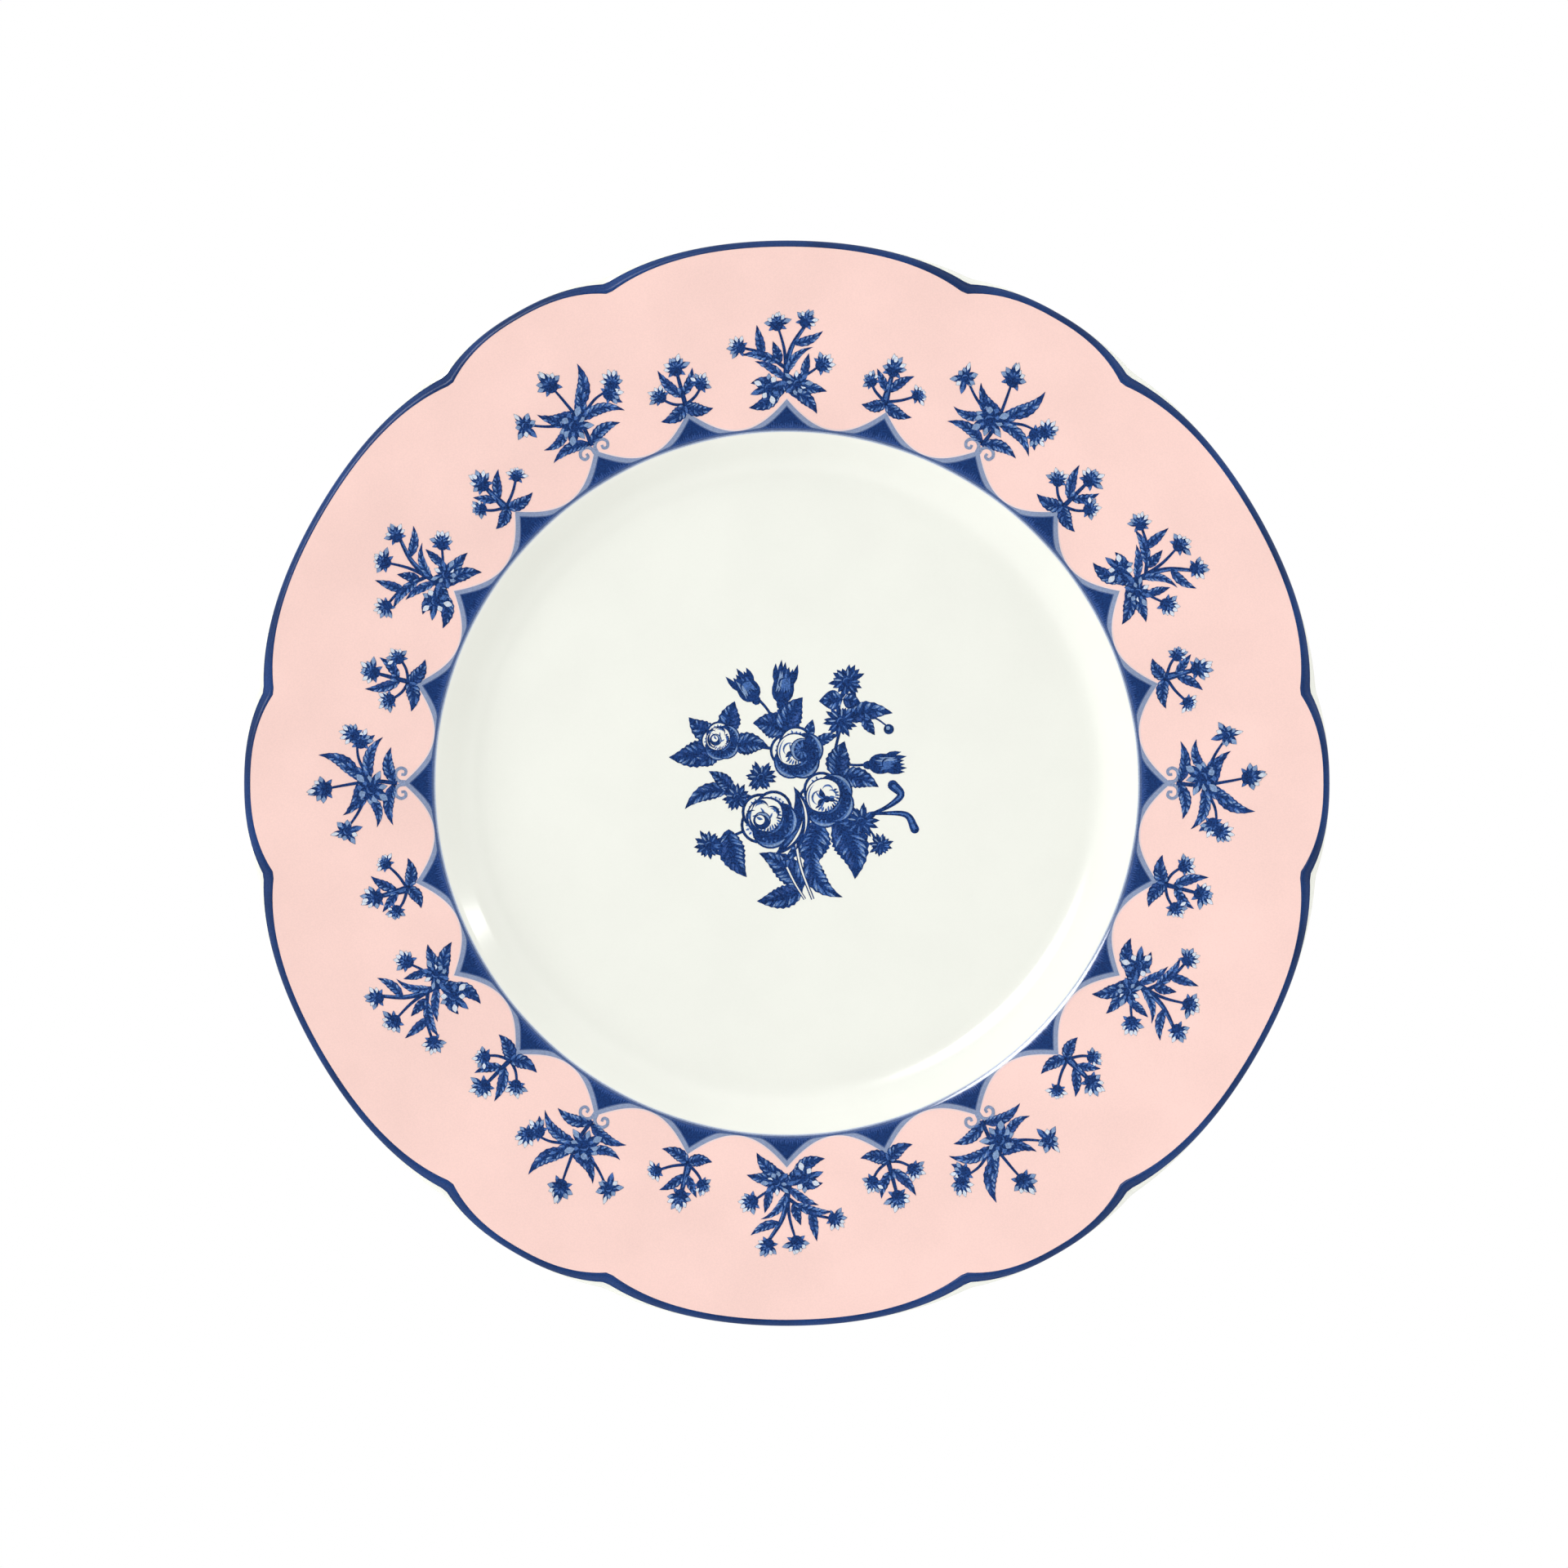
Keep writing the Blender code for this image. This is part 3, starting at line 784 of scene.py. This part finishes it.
def rose(centre, radius, turn, heart):
    """A full rose lit from the upper left: a pale cup in the arms of heavy outer petals.

    heart is the function that draws what the cup holds.
    """
    dice = random.Random(int(abs(centre) * 10))
    shapes = []
    for aside in (165, 95, 235, 20, -55):
        angle = turn + aside
        lobe = centre + polar(radius * 0.38, angle)
        shapes += disc(lobe, radius * 0.63, "dark", 22)
        if math.cos(math.radians(angle + 45)) > 0:
            shapes += crescent(lobe, radius * 0.57, angle - 4, 130, radius * 0.14, "mid")
            shapes += crescent(lobe, radius * 0.56, angle + 6, 95, radius * 0.08, "light")
        else:
            shapes += crescent(lobe, radius * 0.53, angle, 150, radius * 0.27, BARE)
            shapes += crescent(lobe, radius * 0.42, angle + 12, 110, radius * 0.10, "pale")
        for lean in (-50, -28, -8, 14, 36):
            foot = lobe + polar(radius * 0.34, angle + lean)
            reach = polar(radius * dice.uniform(0.08, 0.17), angle + lean * 1.1)
            shapes += lens(foot, foot + reach, radius * 0.07, "mid")
    cup = centre + polar(radius * 0.08, 135)
    shapes += disc(cup, radius * 0.70, "dark", 28)
    shapes += disc(cup + polar(radius * 0.045, 135), radius * 0.61, BARE, 28)
    shapes += cup_shading(cup, radius, dice)
    return shapes + heart(cup, radius, turn)


def open_heart(cup, radius, turn):
    """Petals parted by three curved strokes that meet in the middle of a rose."""
    heart = cup + polar(radius * 0.08, turn - 70)
    shapes = []
    for aside, reach, bend in ((95, 0.44, 0.16), (200, 0.42, -0.18), (320, 0.30, 0.18)):
        tip = heart + polar(radius * reach, turn + aside)
        shapes += lens(heart, tip, radius * 0.20, "dark", bend, 6)
        aside_tip = heart + polar(radius * reach * 1.1, turn + aside + 24)
        shapes += lens(heart, aside_tip, radius * 0.08, "mid", bend)
    for aside, away, size in ((145, 0.30, 0.24), (60, 0.34, 0.18), (20, 0.26, 0.16)):
        middle = heart + polar(radius * away, turn + aside)
        shapes += crescent(middle, radius * size, turn + aside, 190, radius * 0.07, "mid")
    return shapes + disc(heart, radius * 0.12, "dark", 12)


def rolled_heart(cup, radius, turn):
    """A small rolled petal low in a rose's cup, with the edges of three more above it."""
    heart = cup + polar(radius * 0.20, turn + 165)
    shapes = crescent(heart, radius * 0.42, turn + 185, 150, radius * 0.12, "dark")
    for aside, away, size in ((112, 0.36, 0.22), (52, 0.44, 0.27), (-8, 0.44, 0.24)):
        middle = heart + polar(radius * away, turn + aside)
        edge = radius * size
        fold = polar(edge, turn + aside - 150)
        shapes += crescent(middle, edge, turn + aside, 190, radius * 0.10, "dark")
        shapes += crescent(middle, edge * 0.66, turn + aside + 12, 140, radius * 0.07, "mid")
        shapes += lens(middle, middle + fold, radius * 0.07, "mid")
    shapes += disc(heart, radius * 0.30, "dark", 20)
    shapes += crescent(heart, radius * 0.26, turn + 20, 150, radius * 0.07, "light")
    shapes += disc(heart + polar(radius * 0.07, turn + 120), radius * 0.16, BARE)
    low, high = heart + polar(radius * 0.05, turn), heart + polar(radius * 0.23, turn + 100)
    shapes += lens(low, high, radius * 0.10, "mid", 0.1)
    return shapes


def folded_heart(cup, radius, turn):
    """An open heart half hidden by a broad petal that folds over from the right."""
    shapes = open_heart(cup, radius, turn)
    middle = cup + polar(radius * 0.26, 15)
    shapes += disc(middle, radius * 0.44, "dark", 22)
    shapes += crescent(middle, radius * 0.40, 165, 190, radius * 0.10, "light")
    for number in range(7):
        angle = 75 + 35 * number
        foot = middle + polar(radius * 0.06, angle)
        tip = middle + polar(radius * 0.34, angle + 12)
        shapes += lens(foot, tip, radius * 0.09, "mid", 0.08)
    return shapes


def hanging_petals(centre, radius):
    """Two long petals that droop round the right of a rose, each with a light streak."""
    shapes = []
    for away, turn, spread in ((1.36, 2, 104), (1.20, -34, 96)):
        middle = centre + polar(radius * 0.04, turn)
        streak, fold = radius * (away - 0.10), radius * (away - 0.20)
        shapes += crescent(middle, radius * away, turn, spread, radius * 0.62, "dark")
        shapes += crescent(middle, streak, turn + 4, spread * 0.6, radius * 0.07, BARE)
        shapes += crescent(middle, fold, turn - 6, spread * 0.5, radius * 0.09, "mid")
    return shapes


def cup_shading(cup, radius, dice):
    """The lower right of a rose's cup: a dark crescent fading out in engraved strokes."""
    shapes = crescent(cup, radius * 0.64, -48, 210, radius * 0.20, "dark")
    shapes += crescent(cup, radius * 0.56, -42, 90, radius * 0.06, "mid")
    shapes += crescent(cup, radius * 0.60, 175, 90, radius * 0.05, "mid")
    strokes = 13
    for number in range(strokes):
        angle = -48 + (number - (strokes - 1) / 2) * 14
        foot = cup + polar(radius * 0.52, angle)
        tip = cup + polar(radius * dice.uniform(0.27, 0.38), angle + 7)
        shapes += lens(foot, tip, radius * 0.07, "mid" if number % 3 else "dark")
    return shapes


def volute(hand):
    """A scroll that grows from a spandrel's tip and winds in; hand is 1 or -1."""
    rise = [0.3 + 95j, 0.5 + 96.5j, 1.6 + 97.4j, 3.1 + 97.2j]
    wind = [3.8 + 96j, 3.2 + 94.9j, 2.2 + 95.1j, 2.2 + 96j]
    points = [complex(hand * point.real, point.imag) for point in rise + wind]
    return stem(points, 0.9, 0.7, "mist", 4)


def curl(points, width):
    """A narrow leaf that rolls over at its end: thin at its root and blunt at its tip."""
    shapes = stem(points, width * 0.15, width, "dark") + disc(points[-1], width / 2, "dark", 12)
    return shapes + stem(points[1:], width * 0.10, width * 0.35, "mid")


def cut_stem(points, width):
    """A stem left white between two dark edges."""
    return stem(points, width, width * 0.8, "dark") + stem(points, width * 0.5, width * 0.3, BARE)


def each(draw, *rows):
    """What draw makes from each row of its arguments, in order."""
    return [shape for row in rows for shape in draw(*row)]


def scroll_spray():
    """A star blossom and three more over spread leaves, rising between two scrolls."""
    shapes = volute(-1) + volute(1)
    shapes += each(
        stem,
        ([0 + 97j, 0.5 + 103j, -0.5 + 110j, -1.5 + 115j], 1.1, 0.5),
        ([-1.5 + 104j, -7 + 106.5j, -11.5 + 109.5j], 0.9, 0.5),
        ([1 + 104j, 6 + 106.5j, 10.5 + 107j], 0.9, 0.5),
    )
    shapes += each(
        leaf,
        (0.5 + 106.5j, 7 + 116.5j, 3.7, -0.16, 8, 6),
        (0 + 107j, -8 + 110.5j, 2.8, 0.20, 7, 5),
        (-3 + 104.5j, -11 + 102j, 2.6, 0.18, 7, 5),
        (-4 + 104.5j, -6.5 + 109.5j, 2.3, 0.0, 5, 3),
        (1.5 + 103.5j, 6.5 + 111.5j, 3.0, 0.10, 7, 5),
        (1 + 103.5j, 11.5 + 100.5j, 3.0, 0.18, 8, 6),
        (0 + 97.5j, -10.5 + 98j, 3.0, -0.14, 8, 6),
        (0 + 97.5j, 9 + 98.5j, 3.2, 0.14, 8, 5),
        (9.5 + 106j, 12 + 102.5j, 1.9, 0.0, 4, 3),
    )
    shapes += tuft(-1.5 + 116j, 3.1, 95, 1)
    shapes += star_blossom(-12 + 109.5j, 3.3, 2)
    shapes += tuft(11 + 106j, 2.6, 0, 3)
    shapes += tuft(12.5 + 108.5j, 2.5, 60, 17)
    shapes += star_blossom(-1.5 + 103.5j, 4.7, 4)
    return shapes


def tall_spray():
    """Four blossoms on crossing stems over a heavy cluster of leaves."""
    shapes = each(
        stem,
        ([-0.5 + 97.5j, -0.5 + 107j, -2.5 + 114.5j], 1.1, 0.5),
        ([-0.5 + 100j, 1 + 108j, 5 + 114.5j], 1.6, 0.8),
        ([0 + 101.5j, 1.2 + 108j, 4.2 + 113j], 0.5, 0.3, "mid"),
        ([-0.5 + 100j, 4.5 + 101.5j, 9 + 104.5j], 0.9, 0.5),
        ([-0.5 + 103.5j, -6 + 107j, -12 + 108.5j], 1.0, 0.6),
    )
    shapes += each(
        leaf,
        (1.5 + 109.5j, 9 + 112.5j, 2.5, -0.10, 6, 5),
        (0 + 101.5j, 6.5 + 108.5j, 2.1, 0.16, 6, 6),
        (4 + 101j, 5.5 + 107j, 2.3, 0.0, 5, 4),
        (-6 + 106j, -7.5 + 114j, 2.5, 0.0, 6, 5),
        (-2 + 104.5j, -11.5 + 106.5j, 2.5, -0.10, 7, 6),
        (-0.5 + 100.5j, -8 + 105j, 2.3, -0.08, 6, 5),
        (-1.5 + 104.5j, -3.5 + 110j, 2.5, 0.0, 5, 3),
        (-2 + 97.5j, -9.5 + 93.5j, 3.7, 0.12, 7, 5),
        (-3 + 99j, -9 + 99.5j, 3.0, -0.10, 6, 4),
        (2 + 98j, 10 + 97.5j, 3.2, 0.08, 7, 5),
        (1.5 + 97.5j, 7.5 + 92j, 3.5, 0.12, 6, 5),
        (1.5 + 99j, 5.5 + 103j, 2.3, 0.0, 5, 3),
        (-0.5 + 100.5j, -3.5 + 95j, 2.3, 0.06, 5, 4),
        (0 + 100.5j, 3 + 95.5j, 2.3, -0.06, 5, 4),
    )
    shapes += each(
        tuft,
        (-2.5 + 115j, 2.7, 95, 5),
        (5 + 115.5j, 2.5, 60, 6),
        (9.5 + 104.5j, 2.7, 30, 7),
        (-12.5 + 108.5j, 2.4, 165, 8),
    )
    shapes += star_blossom(-4.5 + 98.5j, 3.9, 9)
    shapes += star_blossom(2.5 + 99.5j, 3.4, 10)
    return shapes


def left_sprig():
    """Three tufts and four leaves on a sheathed stem."""
    shapes = each(
        stem,
        ([-1 + 97j, -1 + 101j, -1 + 106j], 2.2, 0.9),
        ([-1 + 98j, -1 + 101j, -1 + 104j], 0.8, 0.3, "mid"),
        ([-1 + 98j, -4 + 100j, -6 + 102.5j], 0.8, 0.6),
        ([-1 + 98j, 3 + 99.5j, 7 + 102j], 0.8, 0.6),
    )
    shapes += each(
        leaf,
        (-1 + 100.5j, -5 + 105.5j, 2.3, 0.0, 5, 4),
        (-0.5 + 100.5j, 4.5 + 106j, 2.6, 0.08, 6, 4),
        (-0.5 + 98j, -6.5 + 96j, 3.3, 0.12, 7, 5),
        (-1 + 98j, 6.5 + 96j, 3.3, -0.12, 7, 5),
    )
    shapes += each(
        tuft,
        (-1 + 107j, 2.8, 90, 11),
        (-6 + 102.5j, 2.2, 140, 12),
        (7 + 102j, 2.2, 35, 13),
    )
    return shapes


def right_sprig():
    """Three tufts and a long leaf over two broad leaves."""
    shapes = each(
        stem,
        ([0 + 97j, 0 + 102j, 0 + 107j], 1.3, 0.7),
        ([0 + 97.5j, -3 + 98.5j, -6 + 101j], 0.8, 0.6),
        ([0 + 97.5j, 3 + 99j, 5.5 + 101.5j], 0.8, 0.6),
    )
    shapes += each(
        leaf,
        (0 + 99.5j, -4.5 + 107.5j, 2.8, 0.08, 7, 5),
        (0 + 100j, 4 + 106j, 2.5, -0.08, 6, 4),
        (0.5 + 98j, -7 + 95j, 3.7, 0.14, 7, 5),
        (-0.5 + 98j, 6.5 + 95j, 3.7, -0.14, 7, 5),
    )
    shapes += each(
        tuft,
        (0 + 107.5j, 2.8, 90, 14),
        (-6 + 101.5j, 2.4, 130, 15),
        (5.5 + 102j, 2.4, 50, 16),
    )
    return shapes


def bouquet():
    """Four roses with buds, stars and leaves, gathered on two thin stems."""
    shapes = each(
        stem,
        ([-8 + 22j, -4 + 17j, -1 + 8j], 0.7, 0.6),
        ([-1 + 21j, -1.5 + 16j, 1.5 + 8j], 0.7, 0.6),
        ([15 + 25j, 13 + 19.5j, 13.5 + 15j, 12 + 8j], 1.0, 0.7),
        ([-16 + 10j, -6 + 9j, 3 + 7.5j], 0.8, 0.8),
        ([-19 - 15.5j, -12 - 12.5j, -4 - 9j], 0.7, 0.7),
        ([-13 - 2.5j, -8 - 4j, -4 - 5j], 0.7, 0.7),
        ([23 + 5j, 17.5 + 4.5j, 13.5 + 5j], 0.7, 0.6),
        ([9 - 4j, 18.5 - 9.5j, 23.5 - 15.5j], 0.7, 0.5),
        ([13.5 + 15j, 21 + 16.5j, 25.5 + 14j], 0.5, 0.4),
    )
    shapes += curl([18.5 - 8j, 25 - 7.5j, 30 - 8j, 32 - 11.5j], 2.2)
    shapes += curl([20 - 8j, 25 - 6j, 28.5 - 3j, 26.5 - 0.5j], 2.6)
    shapes += each(
        leaf,
        (14 + 16j, 26.5 + 17.5j, 5.5, 0.10, 7, 6),
        (19 + 16.5j, 22 + 12j, 3.0, 0.0, 4, 3),
        (14 + 21j, 8 + 20.5j, 5.0, 0.0, 0, 4),
        (14 + 21j, 18.5 + 20j, 4.0, 0.0, 0, 3),
        (0 + 13j, -8.5 + 15j, 7.0, -0.08, 8, 6),
        (-1 + 12.5j, 4 + 21.5j, 7.0, 0.06, 8, 6),
        (-14.5 + 12j, -13 + 20.5j, 6.0, 0.06, 7, 6),
        (-17.5 + 11.5j, -24.5 + 16.5j, 5.5, 0.08, 7, 5),
        (-17.5 + 9.5j, -29.5 + 6.5j, 7.0, 0.08, 9, 7),
        (-17 + 8j, -23.5 + 4.5j, 5.0, 0.0, 6, 5),
        (-14 + 9j, -4.5 + 9j, 6.0, 0.10, 8, 6),
        (12.5 + 1.5j, 14.5 + 10.5j, 6.5, 0.06, 8, 6),
        (13 + 1.5j, 23 - 1j, 5.5, 0.10, 8, 6),
        (-14 - 2j, -25.5 - 6.5j, 4.5, -0.16, 8, 7),
        (-13.5 - 2j, -19.5 + 3j, 4.0, -0.06, 7, 6),
        (-14.5 - 11.5j, -10 - 23.5j, 7.0, -0.10, 9, 8),
        (4 - 26.5j, -7 - 17.5j, 7.0, -0.10, 9, 8),
        (4 - 26.5j, -7.5 - 29.5j, 6.0, 0.06, 9, 7),
        (8.5 - 9.5j, 6.5 - 22j, 9.0, -0.08, 9, 8),
        (11.5 - 9j, 17 - 24j, 9.5, 0.14, 10, 9),
        (6 - 17j, 14 - 28.5j, 5.5, -0.20, 9, 8),
        (5 + 11j, 6.5 + 16j, 2.8, 0.0, 0, 3),
        (7 + 9.5j, 13 + 12j, 3.0, 0.08, 5, 4),
        (3.5 - 13.5j, -1.5 - 19.5j, 2.4, 0.14, 0, 3),
    )
    shapes += cut_stem([2 - 13j, 3.5 - 21j, 6.5 - 29j], 1.1)
    shapes += cut_stem([0 - 21j, 2 - 25j, 4.5 - 29j], 0.9)
    shapes += each(
        bud,
        (-7.5 + 20.5j, -13 + 28j, 5.4),
        (-1.5 + 19.5j, 0 + 30.5j, 5.4),
        (20 + 4.5j, 30 + 5.5j, 5.0),
    )
    shapes += disc(25.5 + 13.5j, 1.3, "dark")
    shapes += disc(25.3 + 13.8j, 0.5, "light", 8)
    shapes += each(
        aster,
        (15 + 25.5j, 4.2, 21),
        (13.5 + 15.5j, 4.0, 22),
        (-12.5 - 3.5j, 3.6, 23),
        (18.5 - 9.5j, 4.2, 24),
        (-19.5 - 15.5j, 3.8, 25),
        (23.5 - 15.5j, 3.0, 26),
        (-6.5 + 1.5j, 3.8, 27),
    )
    shapes += rose(-16.5 + 10.5j, 5.0, 10, rolled_heart)
    shapes += rose(2.5 + 7.5j, 6.8, 0, folded_heart)
    shapes += rose(10 - 4j, 7.2, 25, open_heart)
    shapes += hanging_petals(-4.5 - 9j, 7.4)
    shapes += rose(-4.5 - 9j, 7.4, 45, rolled_heart)
    return shapes


def inside(outline, spot):
    """Whether the spot lies in the outline, by the edges that pass to its right."""
    within = False
    for start, end in zip(outline, outline[1:] + outline[:1]):
        if (start.imag > spot.imag) != (end.imag > spot.imag):
            share = (spot.imag - start.imag) / (end.imag - start.imag)
            if spot.real < start.real + (end.real - start.real) * share:
                within = not within
    return within


def extent(outline):
    """The outline's least and greatest x and y."""
    across = [corner.real for corner in outline]
    outwards = [corner.imag for corner in outline]
    return min(across), max(across), min(outwards), max(outwards)


def ink_at(spot, shapes, extents):
    """The ink of the last shape over the spot."""
    for (outline, ink), (left, right, low, high) in zip(reversed(shapes), reversed(extents)):
        if left <= spot.real <= right and low <= spot.imag <= high and inside(outline, spot):
            return ink
    return BARE


def printed_mesh(name, shapes, inks, layer):
    """The shapes joined into one skin, each spot in the ink of the last shape over it."""
    points, edges = [], []
    for outline, _ in shapes:
        first = len(points)
        points += [Vector((point.real, point.imag)) for point in outline]
        edges += [(corner, corner + 1) for corner in range(first, len(points) - 1)]
        edges.append((len(points) - 1, first))
    whole_hull = 0
    joined = delaunay_2d_cdt(points, edges, [], whole_hull, SAME_CORNER)
    flat, triangles = joined[0], joined[2]
    extents = [extent(outline) for outline, _ in shapes]
    tones = list(inks)
    faces, face_tones, used = [], [], {}
    for triangle in triangles:
        middle = sum((flat[corner] for corner in triangle), Vector((0.0, 0.0))) / 3
        ink = ink_at(complex(*middle), shapes, extents)
        if ink == BARE:
            continue
        faces.append([used.setdefault(corner, len(used)) for corner in triangle])
        face_tones.append(tones.index(ink))
    kept = [(flat[corner].x * MM, flat[corner].y * MM) for corner in used]
    return skin_mesh(name, kept, faces, face_tones, list(inks.values()), layer)


def make_prints():
    """The bouquet in the well, and six copies of each spray and sprig round the rim."""
    inks = {tone: ink_glaze("blue", tone, spread=0.08) for tone in PRINT_TONES}
    mesh = printed_mesh("bouquet", bouquet(), inks, GROUND_LAYER)
    new_piece("bouquet", mesh, "centre_bouquet_transfer")
    sprays = {
        "scroll_spray": (scroll_spray, 120),
        "tall_spray": (tall_spray, 90),
        "left_sprig": (left_sprig, 75),
        "right_sprig": (right_sprig, 105),
    }
    copies = 6
    for name, (draw, first_angle) in sprays.items():
        mesh = printed_mesh(name, draw(), inks, SPRAY_LAYER)
        for copy in range(copies):
            node = f"{name}_transfer_{copy + 1}"
            piece = new_piece(f"{name}_{copy + 1}", mesh, node)
            piece.rotation_euler.z = math.radians(first_angle - 90 - copy * 360 / copies)


# Camera, floor and lights.

LENS_LENGTH = 200  # millimetres, as the sensor's width is
SENSOR_WIDTH = 36.0
FRAME_SHARE = 0.6932  # share of the picture's width that the plate takes
VIEW_CENTRE = (-0.0007, -0.0002)
FLOOR_REACH = 3.0
FLOOR_DROP = 0.0002  # keeps the floor just clear of the foot ring
STUDIO_LIGHT = 1.16
WALL_WHITE = (1.0, 1.0, 0.98)
CEILING_GREY = (0.10, 0.10, 0.10)
CEILING_EDGES = (0.78, 0.90)  # height of a direction where the walls turn to ceiling
KEY_COLOUR = (0.95, 0.97, 1.0)


def make_camera():
    """A long lens that looks straight down from over the well."""
    data = bpy.data.cameras.new("camera")
    data.lens = LENS_LENGTH
    data.sensor_width = SENSOR_WIDTH
    camera = new_object("camera", data)
    distance = 2 * PLATE_RADIUS / FRAME_SHARE * LENS_LENGTH / SENSOR_WIDTH
    camera.location = (*VIEW_CENTRE, rim_height(PLATE_RADIUS) + distance)
    bpy.context.scene.camera = camera


def make_floor():
    """A white floor that gives its own light, so that it shows no shadow."""
    mesh = bpy.data.meshes.new("floor")
    signs = [(-1, -1), (1, -1), (1, 1), (-1, 1)]
    corners = [(FLOOR_REACH * x, FLOOR_REACH * y, 0) for x, y in signs]
    mesh.from_pydata(corners, [], [(0, 1, 2, 3)])
    floor = new_object("floor", mesh)
    floor.location.z = -FLOOR_DROP
    material = bpy.data.materials.new("floor_white")
    material.use_nodes = True
    shader = material.node_tree.nodes["Principled BSDF"]
    shader.inputs["Base Color"].default_value = (0.0, 0.0, 0.0, 1.0)
    shader.inputs["Specular IOR Level"].default_value = 0.0
    shader.inputs["Emission Color"].default_value = (1.0, 1.0, 1.0, 1.0)
    shader.inputs["Emission Strength"].default_value = 1.0
    mesh.materials.append(material)
    floor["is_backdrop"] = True


def softbox(name, azimuth, elevation, distance, size, power):
    """An area light that faces the plate from this side and height."""
    data = bpy.data.lights.new(name, "AREA")
    data.shape = "RECTANGLE"
    data.size, data.size_y = size
    data.energy = power
    light = new_object(name, data)
    rise = polar(distance, elevation)
    place = polar(rise.real, azimuth)
    light.location = (place.real, place.imag, rise.imag)
    light.rotation_euler = (-light.location).to_track_quat("-Z", "Y").to_euler()
    return light


def make_studio():
    """White walls all round, with a dark ceiling over the camera."""
    world = bpy.data.worlds.new("studio")
    bpy.context.scene.world = world
    world.use_nodes = True
    nodes = world.node_tree.nodes
    links = world.node_tree.links
    background = nodes["Background"]
    background.inputs["Strength"].default_value = STUDIO_LIGHT
    aim = nodes.new("ShaderNodeTexCoord")
    split = nodes.new("ShaderNodeSeparateXYZ")
    links.new(aim.outputs["Generated"], split.inputs["Vector"])
    walls = mix_by(nodes, links, split.outputs["Z"], WALL_WHITE, CEILING_GREY, CEILING_EDGES)
    links.new(walls, background.inputs["Color"])
    bpy.context.scene.view_settings.view_transform = "Standard"


def make_lights():
    """A key and a fill that only light the plate, and two lights seen only as glints."""
    key = softbox("key", 135, 47, distance=4.0, size=(1.9, 2.1), power=30.0)
    fill = softbox("left_fill", 185, 30, distance=4.0, size=(2.5, 1.75), power=32.0)
    key.data.color = KEY_COLOUR
    for light in (key, fill):
        light.visible_glossy = False
    glint = softbox("key_glint", 135, 60.5, distance=1.5, size=(0.52, 0.52), power=16.0)
    glint.data.shape = "ELLIPSE"
    window = softbox("window", 24, 8.8, distance=1.4, size=(0.10, 0.10), power=0.8)
    for light in (glint, window):
        light.visible_diffuse = False


make_camera()
make_floor()
make_studio()
make_lights()
make_body()
make_rim_ground()
make_lip_line()
make_arcade()
make_prints()

boxes = [[list(corner) for corner in box] for box in (cad_box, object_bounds())]
